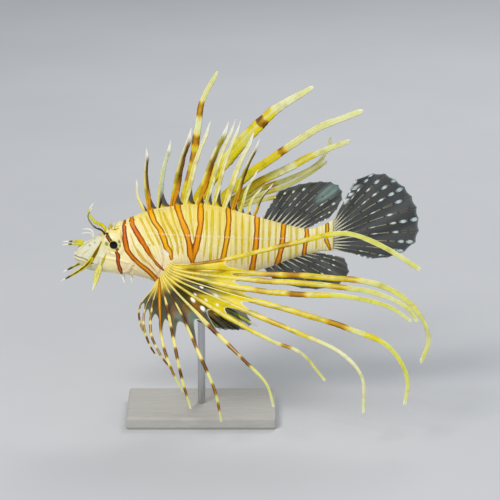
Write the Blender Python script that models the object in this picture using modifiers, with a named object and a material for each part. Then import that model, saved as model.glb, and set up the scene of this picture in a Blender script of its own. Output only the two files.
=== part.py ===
"""A red lionfish, life size, swimming on a display stand.

Lengths in the tables are millimetres, and MM turns them into metres. The fish's own frame has its origin
at the snout: x runs back to the tail, y to the fish's right, and z up. The fish is moved at the end, so
that the model's origin is the middle of the bottom of its bounding box.

Many points are read off the fish as it looks from its left and a little above. Such a point is
(back, up, out): its place in that tilted view, and its distance to the right of the mid-plane.
"""

import math
from functools import partial

import bmesh
import bpy
import numpy as np
from mathutils import Matrix, Vector

MM = 0.001
GAP = 0.3
VIEW_TILT = math.radians(15)

# The body: distance back, top, bottom and half width of each section.
SECTIONS = (
    (0, -0.5, -8.0, 2.4),
    (2, 3.0, -10.4, 4.6),
    (5, 5.5, -13.3, 6.3),
    (10, 8.4, -15.8, 8.1),
    (16, 11.0, -17.0, 9.6),
    (25, 17.0, -18.0, 11.2),
    (35, 22.6, -19.0, 13.2),
    (47, 28.0, -20.2, 15.4),
    (60, 32.4, -23.4, 17.8),
    (75, 35.2, -27.4, 18.4),
    (95, 36.9, -28.6, 17.6),
    (115, 35.0, -25.2, 15.3),
    (135, 29.5, -19.6, 12.2),
    (155, 24.0, -13.3, 9.2),
    (172, 19.4, -6.6, 6.8),
    (187, 17.2, -2.4, 4.8),
    (196, 20.0, -0.8, 3.9),
    (205, 24.4, -0.8, 2.6),
)
SQUARENESS = 2.3
BELLY_SHARE = 0.12
STANDARD_LENGTH = 205.0
TAIL_STEM_START = 150.0
RING_POINTS = 32
HEAD_RINGS = 17
HEAD_CROWDING = 1.25
TORSO_RINGS = 16
STEM_RINGS = 10

# The gill cover's rear edge, furthest back low on the flank.
GILL_TOP = 57.0
GILL_REACH = 13.0
GILL_ANGLE = 1.75
GILL_SPREAD = 0.75
GILL_LIP = 0.5
GILL_LIP_SHARE = 0.06
GILL_MIDDLE = 60.0

# The mouth: its line in side view, and the back edge of the lower jaw.
MOUTH_LINE = ((-2.0, -4.0), (6.0, -5.2), (14.5, -8.8))
JAW_BACK = ((19.0, -12.5), (28.0, -21.0))
JAW_DEPTH = 40.0
JAW_REACH = 20.0
LIP_RADIUS = 0.9
LIP_RISE = 1.25
LIP_POINTS = 12
LIP_CROWDING = 1.6

# The eyes.
EYE_CENTRE = (30.8, 8.9, 7.8)
EYE_RADIUS = 9.0
EYE_DEPTH = 5.4
LID_RADIUS = 8.2
LID_OUT = 12.4
LID_THICK = 1.0
LID_TILT = 0.12

NOSTRIL = (11.5, 5.4)
NOSTRIL_AXIS = (-0.3, 1.0, 0.4)
NOSTRIL_RADIUS = 0.95
NOSTRIL_RIM = 0.4
NOSTRIL_PIT = (0.55, 1.2, 0.55)

# Spines of the head, on each side: back, height, length, lean back in degrees, radius.
HEAD_SPINES = (
    (24.5, 15.2, 3.0, 35, 0.9),
    (27.5, 18.6, 6.0, 10, 1.2),
    (33.0, 20.2, 3.6, 55, 1.1),
    (41.0, 23.0, 3.4, 62, 1.1),
    (48.0, 26.0, 3.2, 65, 1.1),
    (44.5, -7.5, 3.0, 75, 1.0),
    (46.0, -12.0, 3.4, 80, 1.1),
    (43.5, -16.2, 3.0, 80, 1.0),
    (58.0, 9.0, 3.6, 82, 1.1),
)
HEAD_SPINE_SINK = 1.2
CONE_TIP_SHARE = 0.15

# Of each fin below, WEB is the share of a ray that its web reaches, NOTCH how far the web's margin is cut
# back between rays, CROWDING how closely rows gather at the root, and ROWS how many carry the web, then how
# many the free ends.

# Spines of the dorsal fin: root, then the tip in the side view.
DORSAL_SPINES = (
    (55.0, 48.8, 56.0),
    (58.4, 57.2, 80.8),
    (65.6, 76.4, 87.2),
    (76.0, 92.8, 96.8),
    (86.4, 108.0, 102.4),
    (96.0, 122.4, 101.6),
    (103.2, 128.0, 103.2),
    (109.6, 132.0, 102.4),
    (117.6, 142.4, 93.6),
    (124.8, 147.2, 88.8),
    (131.2, 145.6, 64.0),
    (136.8, 148.8, 50.0),
    (142.4, 157.6, 53.0),
)
DORSAL_BOW = 2.5
DORSAL_LEAD = 0.9
# The greatest width of each spine's flag, how fast it narrows to the tip, and its skirt where the web starts.
DORSAL_FLAGS = (1.8, 3.6, 3.6, 5.7, 3.6, 5.4, 2.7, 2.7, 4.5, 3.6, 1.8, 1.5, 1.5)
DORSAL_NARROWING = 2.2
DORSAL_SKIRT = 0.55
DORSAL_SKIRT_FADE = 0.6
DORSAL_SKIRT_MOST = 3.0
DORSAL_WEB = 0.08
DORSAL_NOTCH = 0.35
DORSAL_COLUMN_PLACE = 0.62
DORSAL_ROWS = (1, 7)

SOFT_DORSAL_ROOTS = (149.2, 183.6)
SOFT_DORSAL_RAYS = 11
SOFT_DORSAL_ANGLES = (60.0, 27.0)
SOFT_DORSAL_LENGTHS = ((0.0, 27), (0.3, 44), (0.6, 53), (0.8, 44), (1.0, 22))
SOFT_DORSAL_WEB = 0.95
SOFT_DORSAL_ROWS = (5, 1)

ANAL_ROOTS = (150.6, 190.0)
ANAL_RAYS = 10
ANAL_ANGLES = (-52.0, -12.0)
ANAL_LENGTHS = ((0.0, 13), (0.22, 30), (0.45, 43), (0.7, 44), (1.0, 26))
ANAL_WEB = 0.93
ANAL_ROWS = (5, 1)

CAUDAL_RAYS = 13
CAUDAL_HUB = (196.0, 11.0)
CAUDAL_ANGLES = (58.0, -24.0)
CAUDAL_RADII = ((0.0, 54), (0.12, 69), (0.25, 75.5), (0.6, 80.5), (0.78, 75), (0.9, 60), (1.0, 45))
CAUDAL_ROOT_MARGIN = 1.6
CAUDAL_CURL = 7.0
CAUDAL_WEB = 0.95
CAUDAL_ROWS = (6, 1)

# The unpaired soft fins: how far a ray sags, its half width and what is left of it at the tip, and the web.
MEDIAN_SAG = 0.02
MEDIAN_HALF_WIDTH = 0.7
MEDIAN_TIP_SHARE = 0.6
MEDIAN_RIDGE = 0.6
MEDIAN_WEB_HALF = 0.27
MEDIAN_NOTCH = 0.05

PELVIC_ROOTS = (73.0, 81.0)
PELVIC_ROOT_OUT = 6.0
PELVIC_RAYS = 6
PELVIC_ANGLES = (-50.0, -24.0)
PELVIC_LENGTHS = ((0.0, 42), (0.4, 60), (0.75, 69), (1.0, 56))
PELVIC_LEFT_OUT = 30.0
PELVIC_RIGHT_OUT = 12.0
PELVIC_RIGHT_SHARE = 1.12
PELVIC_STANDOFF = 2.2
PELVIC_TURN = 1.4
PELVIC_STEPS = (0.3, 0.65, 1.0)
PELVIC_HALF_WIDTH = 0.8
PELVIC_TIP_SHARE = 0.4
PELVIC_WEB = 0.82
PELVIC_NOTCH = 0.12
PELVIC_CROWDING = 1.2
PELVIC_ROWS = (5, 2)

# Rays of the near pectoral fin, from the top one down: the points each passes and its tip, in the side view.
LEFT_RAYS = (
    ((111, -9), (167, 4), (215, 13), (247, 1), (274, -16)),
    ((139, -18), (195, -21), (243, -28), (270, -47), (280, -70), (274, -90)),
    ((139, -23), (195, -27), (239, -34), (262, -45), (271, -57)),
    ((123, -28), (171, -34), (215, -36), (247, -44), (266, -56)),
    ((119, -33), (171, -47), (219, -62), (247, -75), (262, -100), (260, -122)),
    ((123, -42), (171, -62), (210, -80), (226, -98), (228, -129)),
    ((111, -46), (155, -70), (179, -80), (198, -102)),
    ((102, -54), (135, -86), (152, -104), (158, -123)),
    ((85, -50), (100, -82), (112, -110), (117, -135)),
    ((74, -46), (80, -73), (86, -100), (93, -125)),
    ((68, -48), (71, -74), (78, -94), (87, -112)),
    ((61.5, -46), (61.5, -66), (68, -81), (77, -94)),
    ((57, -44), (55, -58), (59, -73), (65, -84)),
    ((53, -42), (51, -51), (53, -61), (57, -70)),
)
# The same for the far fin, which is raised behind the back.
RIGHT_RAYS = (
    ((91, 64), (96, 96), (100, 120), (113, 145)),
    ((99, 46), (123, 78), (159, 114), (191, 133)),
    ((131, 56), (167, 82), (195, 100), (232, 114)),
    ((139, 51), (171, 68), (195, 80), (222, 90)),
    ((137, 45), (171, 59), (192, 69), (202, 81), (206, 93)),
    ((131, 39), (171, 54), (191, 65), (203, 74)),
    ((128, 35), (167, 46), (195, 56)),
    ((113, 17), (147, 20)),
    ((107, 8), (138, 6)),
    ((100, 0), (127, -6)),
    ((93, -7), (115, -16)),
    ((86, -14), (103, -25)),
    ((79, -19), (91, -31)),
    ((73, -23), (81, -35)),
)
# How far out each fin's rays bow: at the top ray, at the middle and at the lowest ray.
LEFT_BOW = ((0.0, 20), (0.25, 58), (0.5, 72), (0.75, 56), (1.0, 17))
RIGHT_BOW = ((0.0, 42), (0.25, 60), (0.5, 82), (0.62, 88), (0.8, 74), (0.92, 54), (1.0, 38))
BOW_TURN = 1.75
LEFT_ROOTS = ((76.0, -4.5), (64.5, -21.5))
RIGHT_ROOTS = ((73.5, -4.5), (69.5, -21.5))
PECTORAL_ROOT_OUT = 6.0
PECTORAL_SPLIT = 7
PECTORAL_WEB = ((0.0, 0.24), (0.3, 0.32), (0.6, 0.44), (1.0, 0.48))
PECTORAL_NOTCH = 0.3
PECTORAL_CROWDING = 1.7
PECTORAL_ROWS = (5, 9)
# Half widths of each ray: where its web ends, half way on from there, and at its end.
LEFT_WIDTHS = (
    (1.7, 2.0, 2.0),
    (2.2, 2.3, 1.7),
    (2.2, 2.2, 1.6),
    (2.3, 2.1, 1.4),
    (2.3, 2.1, 1.5),
    (2.2, 1.6, 1.2),
    (2.0, 1.4, 1.0),
    (2.0, 1.4, 1.1),
    (1.7, 1.4, 0.9),
    (1.6, 1.3, 0.8),
    (1.5, 1.2, 0.8),
    (1.3, 1.1, 0.7),
    (1.2, 1.0, 0.7),
    (1.2, 0.9, 0.7),
)
RIGHT_WIDTHS = (
    (3.4, 3.0, 1.6),
    (4.4, 4.8, 1.8),
    (3.4, 3.0, 2.3),
    (3.3, 3.2, 1.7),
    (2.8, 2.2, 1.2),
    (2.6, 2.0, 1.4),
    (2.2, 1.8, 1.2),
    (1.8, 1.5, 1.0),
    (1.7, 1.4, 1.0),
    (1.6, 1.3, 0.9),
    (1.6, 1.3, 0.9),
    (1.5, 1.2, 0.8),
    (1.5, 1.1, 0.8),
    (1.4, 1.0, 0.8),
)
# Half heights of a ray's ridge and of the web: along the fin, and what the root adds, fading over some rows.
PECTORAL_RIDGE = (0.7, 0.6, 1.2)
PECTORAL_WEB_HALF = (0.3, 0.5, 0.8)

# Flaps and feelers of the head: the points each passes as the near side shows them, how far it stands out
# from the middle at its root and tip, and its widths from root to tip.
FLAPS = {
    "brow_tentacle": (
        ((23.6, 15.0), (21.0, 15.8), (16.0, 18.0), (12.0, 22.4), (10.4, 27.0), (14.4, 34.4)),
        (8.0, 7.0),
        (2.0, 2.2, 1.6, 0.9),
    ),
    "snout_barbel": (
        ((4.6, 5.2), (1.0, 4.9), (-5.0, 4.6), (-11.2, 4.0)),
        (3.4, 5.0),
        (4.0, 2.4, 1.3, 0.9),
    ),
    "nasal_cirrus": (
        ((14.4, 9.8), (12.8, 12.8), (9.6, 13.8), (5.0, 13.2)),
        (4.2, 6.5),
        (1.2, 1.1, 1.0, 0.8),
    ),
    "cheek_flap_front": (
        ((13.2, -6.0), (9.6, -11.2), (3.6, -16.0), (-3.2, -20.2), (-12.0, -25.2)),
        (9.4, 14.0),
        (2.6, 3.4, 2.4, 1.0),
    ),
    "cheek_flap_rear": (
        ((19.4, -13.0), (17.6, -18.4), (16.4, -24.0), (13.2, -33.2)),
        (10.0, 14.0),
        (1.9, 5.4, 3.2, 1.0),
    ),
    "chin_barbel_front": (
        ((36.4, -17.4), (37.0, -21.0), (38.8, -26.4)),
        (5.5, 6.5),
        (1.6, 1.4, 0.9),
    ),
    "chin_barbel_rear": (
        ((43.6, -18.2), (44.0, -21.6), (45.0, -26.4)),
        (6.0, 7.0),
        (1.6, 1.4, 0.9),
    ),
}
FLAP_HALF_HEIGHT = 0.45
FLAP_ROWS = 9
FLAP_CROWDING = 1.25
FLAP_STANDOFF = 1.6

# Where along a ray its end starts to round off.
TIP_START = 0.965
# How much a radian of bend counts against a ray's whole length, where its rows of points are spread.
BEND_SHARE = 0.5
NEAR_SHARE = 0.15
FINE_POINTS = 81
# The most of the way to its neighbour that one ray fills, and the room at a fin's outer edge.
CLEAR_SHARE = {"lead": 0.33, "trail": 0.36}
WIDE_ROOM = 1000.0
WEB_HALF = 0.3
RAY_TAPER = 2.5

# The stand.
STAND_MIDDLE = 100.0
STAND_LENGTH = 120.0
STAND_WIDTH = 80.0
STAND_THICK = 10.0
STAND_EDGE = 2.0
ROD_RADIUS = 3.0
LOWEST_FIN = 118.0
FIN_CLEARANCE = 10.0

COLOURS = {
    "skin": ((0.86, 0.66, 0.42), 0.5, 0.0),
    "fin_ray": ((0.80, 0.68, 0.22), 0.5, 0.0),
    "clear_fin": ((0.30, 0.33, 0.30), 0.4, 0.0),
    "eye": ((0.10, 0.09, 0.05), 0.1, 0.0),
    "base": ((0.46, 0.45, 0.43), 0.5, 0.0),
    "rod": ((0.62, 0.62, 0.63), 0.3, 1.0),
}


def curve_of(knots, x):
    """A smooth curve through the knots, as the value at x."""
    xs = np.array([k[0] for k in knots], float)
    ys = np.array([k[1] for k in knots], float)
    slopes = np.gradient(ys, xs) if len(xs) > 2 else np.full(2, (ys[1] - ys[0]) / (xs[1] - xs[0]))
    x = min(max(float(x), xs[0]), xs[-1])
    i = min(int(np.searchsorted(xs, x, side="right")) - 1, len(xs) - 2)
    width = xs[i + 1] - xs[i]
    t = (x - xs[i]) / width
    start = (1 + 2 * t) * (1 - t) ** 2 * ys[i] + t * (1 - t) ** 2 * width * slopes[i]
    end = t * t * (3 - 2 * t) * ys[i + 1] + t * t * (t - 1) * width * slopes[i + 1]
    return start + end


def section(x):
    """The body's middle height, half height and half width at x."""
    top, bottom, half_width = (
        curve_of([(s[0], s[column]) for s in SECTIONS], x) for column in (1, 2, 3)
    )
    return (top + bottom) / 2, (top - bottom) / 2, half_width


def body_point(x, angle):
    """The point of the body's surface at x, turned from the back (0) down the fish's left side."""
    middle, half_height, half_width = section(x)
    power = 2 / SQUARENESS
    up = math.copysign(abs(math.cos(angle)) ** power, math.cos(angle))
    out = math.copysign(abs(math.sin(angle)) ** power, math.sin(angle))
    wide = half_width * (1 - BELLY_SHARE * up)
    return Vector((x, -wide * out, middle + half_height * up))


def flank(x, z):
    """How far the body reaches from its mid-plane at x and z."""
    middle, half_height, half_width = section(x)
    up = max(-1.0, min(1.0, (z - middle) / half_height))
    return half_width * (1 - BELLY_SHARE * up) * (1 - abs(up) ** SQUARENESS) ** (1 / SQUARENESS)


def seated(point, gap=GAP):
    """The point moved straight in or out, as seen along the body, to the body's surface and a gap over it."""
    middle, half_height, half_width = section(point.x)
    up, out = point.z - middle, point.y
    rise = max(-1.0, min(1.0, up / half_height))
    wide = half_width * (1 - BELLY_SHARE * rise)
    size = (abs(out / wide) ** SQUARENESS + abs(up / half_height) ** SQUARENESS) ** (1 / SQUARENESS)
    reach = 1 / size + gap / math.hypot(up, out)
    return Vector((point.x, out * reach, middle + up * reach))


def from_side(back, up, out):
    """A point of the tilted side view, at a distance to the right of the mid-plane."""
    return Vector((back, out, (up - out * math.sin(VIEW_TILT)) / math.cos(VIEW_TILT)))


def path_through(points, count, crowding=1.0):
    """Points along a smooth curve through the given ones, evenly spaced or closer at the start."""
    marks = np.cumsum([0.0] + [(b - a).length ** 0.5 for a, b in zip(points, points[1:])])
    dense = [
        Vector([curve_of([(m, p[axis]) for m, p in zip(marks, points)], t) for axis in range(3)])
        for t in np.linspace(0.0, marks[-1], 12 * (len(points) - 1) + 1)
    ]
    lengths = np.cumsum([0.0] + [(q - p).length for p, q in zip(dense, dense[1:])])
    shares = lengths / lengths[-1]
    wanted = [(k / (count - 1)) ** crowding for k in range(count)]
    table = np.array([tuple(p) for p in dense])
    return [Vector([np.interp(w, shares, table[:, axis]) for axis in range(3)]) for w in wanted]


def new_material(name):
    colour, roughness, metallic = COLOURS[name]
    material = bpy.data.materials.new(name)
    material.use_nodes = True
    shader = material.node_tree.nodes["Principled BSDF"]
    shader.inputs["Base Color"].default_value = (*colour, 1)
    shader.inputs["Roughness"].default_value = roughness
    shader.inputs["Metallic"].default_value = metallic
    return material


def object_from(name, mesh, material):
    """An object of the mesh, whose points are millimetres in the fish's frame; a cutter has no material."""
    obj = bpy.data.objects.new(name, mesh)
    PARTS.objects.link(obj)
    if material:
        mesh.materials.append(MATERIALS[material])
    mesh.transform(Matrix.Scale(MM, 4))
    return obj


def mesh_of(name, points, faces):
    """A closed mesh of these faces, all pointing out."""
    mesh = bpy.data.meshes.new(name)
    mesh.from_pydata([tuple(p) for p in points], [], faces)
    shape = bmesh.new()
    shape.from_mesh(mesh)
    bmesh.ops.recalc_face_normals(shape, faces=shape.faces)
    shape.to_mesh(mesh)
    shape.free()
    mesh.shade_smooth()
    return mesh


def boolean(target, operation, cutters):
    """Joins or cuts the target by a collection of closed meshes, which are then removed."""
    helpers = bpy.data.collections.new(f"{target.name}_helpers")
    bpy.context.scene.collection.children.link(helpers)
    for cutter in cutters:
        for holder in list(cutter.users_collection):
            holder.objects.unlink(cutter)
        helpers.objects.link(cutter)
        cutter.display_type = "WIRE"
        cutter.hide_render = True
    modifier = target.modifiers.new(operation.lower(), "BOOLEAN")
    modifier.operation = operation
    modifier.operand_type = "COLLECTION"
    modifier.collection = helpers
    modifier.solver = "EXACT"
    bpy.context.view_layer.update()
    evaluated = target.evaluated_get(bpy.context.evaluated_depsgraph_get())
    target.modifiers.clear()
    target.data = bpy.data.meshes.new_from_object(evaluated)
    for cutter in cutters:
        bpy.data.objects.remove(cutter)
    bpy.data.collections.remove(helpers)
    keep_largest(target)


def keep_largest(obj):
    """Leaves only the object's largest closed surface."""
    shape = bmesh.new()
    shape.from_mesh(obj.data)
    left, islands = set(shape.faces), []
    while left:
        island, edge = set(), [left.pop()]
        while edge:
            face = edge.pop()
            island.add(face)
            for side in face.edges:
                for other in side.link_faces:
                    if other in left:
                        left.discard(other)
                        edge.append(other)
        islands.append(island)
    islands.sort(key=lambda faces: sum(face.calc_area() for face in faces), reverse=True)
    scraps = [face for island in islands[1:] for face in island]
    if scraps:
        bmesh.ops.delete(shape, geom=scraps, context="FACES")
    shape.to_mesh(obj.data)
    shape.free()


def gill_edge(angle):
    """How far back the gill cover reaches, at this turn from the back."""
    turn = math.pi - abs(math.pi - angle)
    return GILL_TOP + GILL_REACH * math.exp(-(((turn - GILL_ANGLE) / GILL_SPREAD) ** 2))


def lofted(name, rows, front_middle, back_middle):
    """A closed mesh over rows of ring points, each end closed by a fan from its middle point."""
    count = len(rows[0])
    points = [p for row in rows for p in row] + [front_middle, back_middle]
    triangles = []
    for r in range(len(rows) - 1):
        for k in range(count):
            a, b = r * count + k, r * count + (k + 1) % count
            triangles += [(a, b, b + count), (a, b + count, a + count)]
    last = (len(rows) - 1) * count
    for k in range(count):
        after = (k + 1) % count
        triangles += [(len(points) - 2, after, k), (len(points) - 1, last + k, last + after)]
    return mesh_of(name, points, triangles)


def ring_angles():
    return [2 * math.pi * k / RING_POINTS for k in range(RING_POINTS)]


def gill_lip(share, angle):
    """How far the gill cover's edge stands proud, at a share of the head's length and a turn."""
    reach = (gill_edge(angle) - GILL_TOP) / GILL_REACH
    return GILL_LIP * reach * max(0.0, 1 - (1 - share) / GILL_LIP_SHARE)


def head_mesh():
    rows = []
    for r in range(HEAD_RINGS + 1):
        share = (r / HEAD_RINGS) ** HEAD_CROWDING
        row = [body_point(share * gill_edge(a), a) for a in ring_angles()]
        rows.append([seated(p, gill_lip(share, a)) for p, a in zip(row, ring_angles())] if r else row)
    middle = section(GILL_MIDDLE)[0]
    return lofted("head", rows, Vector((0, 0, section(0)[0])), Vector((GILL_MIDDLE, 0, middle)))


def torso_mesh():
    rows = []
    for r in range(TORSO_RINGS + 1):
        share = r / TORSO_RINGS
        starts = [gill_edge(a) + GAP for a in ring_angles()]
        rows.append([body_point(s + share * (TAIL_STEM_START - s), a) for s, a in zip(starts, ring_angles())])
    front = Vector((GILL_MIDDLE + GAP, 0, section(GILL_MIDDLE)[0]))
    back = Vector((TAIL_STEM_START, 0, section(TAIL_STEM_START)[0]))
    return lofted("torso", rows, front, back)


def tail_stem_mesh():
    start = TAIL_STEM_START + GAP
    xs = [start + (STANDARD_LENGTH - start) * r / STEM_RINGS for r in range(STEM_RINGS + 1)]
    rows = [[body_point(x, a) for a in ring_angles()] for x in xs]
    ends = [Vector((x, 0, section(x)[0])) for x in (xs[0], xs[-1])]
    return lofted("tail_stem", rows, *ends)


def mouth_height(x):
    return float(np.interp(x, [p[0] for p in MOUTH_LINE], [p[1] for p in MOUTH_LINE]))


def jaw_cutter(shift):
    """A block that takes the lower jaw from the head, its upper and rear sides moved off by the shift."""
    outline = [(x + 0.5 * shift, z + shift) for x, z in MOUTH_LINE + JAW_BACK]
    outline += [(JAW_BACK[-1][0] + shift, -JAW_DEPTH), (MOUTH_LINE[0][0], -JAW_DEPTH)]
    points = [Vector((x, y, z)) for y in (-JAW_REACH, JAW_REACH) for x, z in outline]
    count = len(outline)
    faces = [(k, (k + 1) % count, (k + 1) % count + count, k + count) for k in range(count)]
    faces += [tuple(range(count)), tuple(range(2 * count - 1, count - 1, -1))]
    mesh = mesh_of("jaw_cutter", points, faces)
    return object_from("jaw_cutter", mesh, None)


def tube_along(name, points, radius):
    """A closed tube through the points, as a mesh object."""
    curve = bpy.data.curves.new(name, "CURVE")
    curve.dimensions = "3D"
    curve.bevel_depth = radius * MM
    curve.bevel_resolution = 1
    curve.use_fill_caps = True
    line = curve.splines.new("POLY")
    line.points.add(len(points) - 1)
    for knot, point in zip(line.points, points):
        knot.co = (*(point * MM), 1)
    holder = bpy.data.objects.new(name, curve)
    PARTS.objects.link(holder)
    bpy.context.view_layer.update()
    mesh = bpy.data.meshes.new_from_object(holder.evaluated_get(bpy.context.evaluated_depsgraph_get()))
    bpy.data.objects.remove(holder)
    shape = bmesh.new()
    shape.from_mesh(mesh)
    bmesh.ops.remove_doubles(shape, verts=shape.verts, dist=0.01 * MM)
    bmesh.ops.recalc_face_normals(shape, faces=shape.faces)
    shape.to_mesh(mesh)
    shape.free()
    tube = bpy.data.objects.new(name, mesh)
    PARTS.objects.link(tube)
    return tube


def lip(name, rise):
    """A lip along the mouth's edge, from one corner round the snout to the other."""
    side = []
    for k in range(LIP_POINTS):
        x = MOUTH_LINE[-1][0] * (1 - k / LIP_POINTS) ** LIP_CROWDING
        z = mouth_height(x) + rise
        side.append(Vector((x - 0.1, -flank(x, z), z)))
    other = [Vector((p.x, -p.y, p.z)) for p in reversed(side)]
    return tube_along(name, side + other, LIP_RADIUS)


def ellipsoid(name, centre, radii, segments=24, rings=12):
    """A closed ellipsoid whose poles lie along y."""
    mesh = bpy.data.meshes.new(name)
    shape = bmesh.new()
    bmesh.ops.create_uvsphere(shape, u_segments=segments, v_segments=rings, radius=1.0)
    bmesh.ops.rotate(shape, verts=shape.verts, matrix=Matrix.Rotation(math.pi / 2, 3, "X"))
    bmesh.ops.scale(shape, verts=shape.verts, vec=radii)
    bmesh.ops.translate(shape, verts=shape.verts, vec=centre)
    shape.to_mesh(mesh)
    shape.free()
    mesh.shade_smooth()
    return mesh


def ring_at(name, centre, axis, major, minor, sides=24, tube_sides=6):
    """A torus about an axis, as a mesh object."""
    bpy.ops.mesh.primitive_torus_add(
        major_radius=major * MM, minor_radius=minor * MM, major_segments=sides, minor_segments=tube_sides
    )
    ring = bpy.context.object
    ring.name = name
    turn = Vector((0, 0, 1)).rotation_difference(Vector(axis).normalized()).to_matrix().to_4x4()
    ring.data.transform(Matrix.Translation(Vector(centre) * MM) @ turn)
    return ring


def cone_at(name, foot, direction, radius, length, sides=6):
    """A pointed cone from a foot point, as a mesh object."""
    mesh = bpy.data.meshes.new(name)
    shape = bmesh.new()
    bmesh.ops.create_cone(
        shape, cap_ends=True, segments=sides, radius1=radius, radius2=radius * CONE_TIP_SHARE, depth=length
    )
    turn = Vector((0, 0, 1)).rotation_difference(direction.normalized()).to_matrix()
    bmesh.ops.rotate(shape, verts=shape.verts, matrix=turn)
    bmesh.ops.translate(shape, verts=shape.verts, vec=foot + direction.normalized() * length / 2)
    shape.to_mesh(mesh)
    shape.free()
    return object_from(name, mesh, None)


def head_spines():
    """The short spines of the brow, the nape and the gill cover, on both sides."""
    pieces = []
    for back, height, length, lean, radius in HEAD_SPINES:
        for side in (-1, 1):
            out = flank(back, height)
            root = Vector((back, side * out, height))
            away = (seated(root, 1.0) - seated(root, 0.0)).normalized()
            tilt = math.radians(lean)
            direction = away * math.cos(tilt) + Vector((1, 0, 0)) * math.sin(tilt)
            foot = root - away * HEAD_SPINE_SINK
            pieces.append(cone_at("spine", foot, direction, radius, length + HEAD_SPINE_SINK))
    return pieces


def build_head():
    """The head with its lids, lips, nostrils and spines, and the lower jaw that fits under it."""
    head = object_from("head", head_mesh(), "skin")
    jaw = object_from("lower_jaw", head_mesh(), "skin")
    boolean(jaw, "INTERSECT", [jaw_cutter(0.0)])
    boolean(head, "DIFFERENCE", [jaw_cutter(GAP)])
    boolean(jaw, "UNION", [lip("lower_lip", -LIP_RISE)])

    added = [lip("upper_lip", LIP_RISE + GAP)] + head_spines()
    for side in (-1, 1):
        centre = (EYE_CENTRE[0], side * LID_OUT, EYE_CENTRE[2])
        added.append(ring_at("lid", centre, (0, 1, side * LID_TILT), LID_RADIUS, LID_THICK))
        rim = (NOSTRIL[0], side * flank(*NOSTRIL), NOSTRIL[1])
        axis = (NOSTRIL_AXIS[0], side * NOSTRIL_AXIS[1], NOSTRIL_AXIS[2])
        added.append(ring_at("nostril", rim, axis, NOSTRIL_RADIUS, NOSTRIL_RIM, 12, 5))
    boolean(head, "UNION", added)

    holes = []
    for side in (-1, 1):
        centre = Vector((EYE_CENTRE[0], side * EYE_CENTRE[1], EYE_CENTRE[2]))
        radii = (EYE_RADIUS + GAP, EYE_DEPTH + GAP, EYE_RADIUS + GAP)
        holes.append(object_from("socket", ellipsoid("socket", centre, radii), None))
        pit = Vector((NOSTRIL[0], side * flank(*NOSTRIL), NOSTRIL[1]))
        holes.append(object_from("pit", ellipsoid("pit", pit, NOSTRIL_PIT, 8, 6), None))
    boolean(head, "DIFFERENCE", holes)


def build_eyes():
    for side, word in ((-1, "left"), (1, "right")):
        centre = Vector((EYE_CENTRE[0], side * EYE_CENTRE[1], EYE_CENTRE[2]))
        radii = (EYE_RADIUS, EYE_DEPTH, EYE_RADIUS)
        object_from(f"eye_{word}", ellipsoid(f"eye_{word}", centre, radii), "eye")


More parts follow.
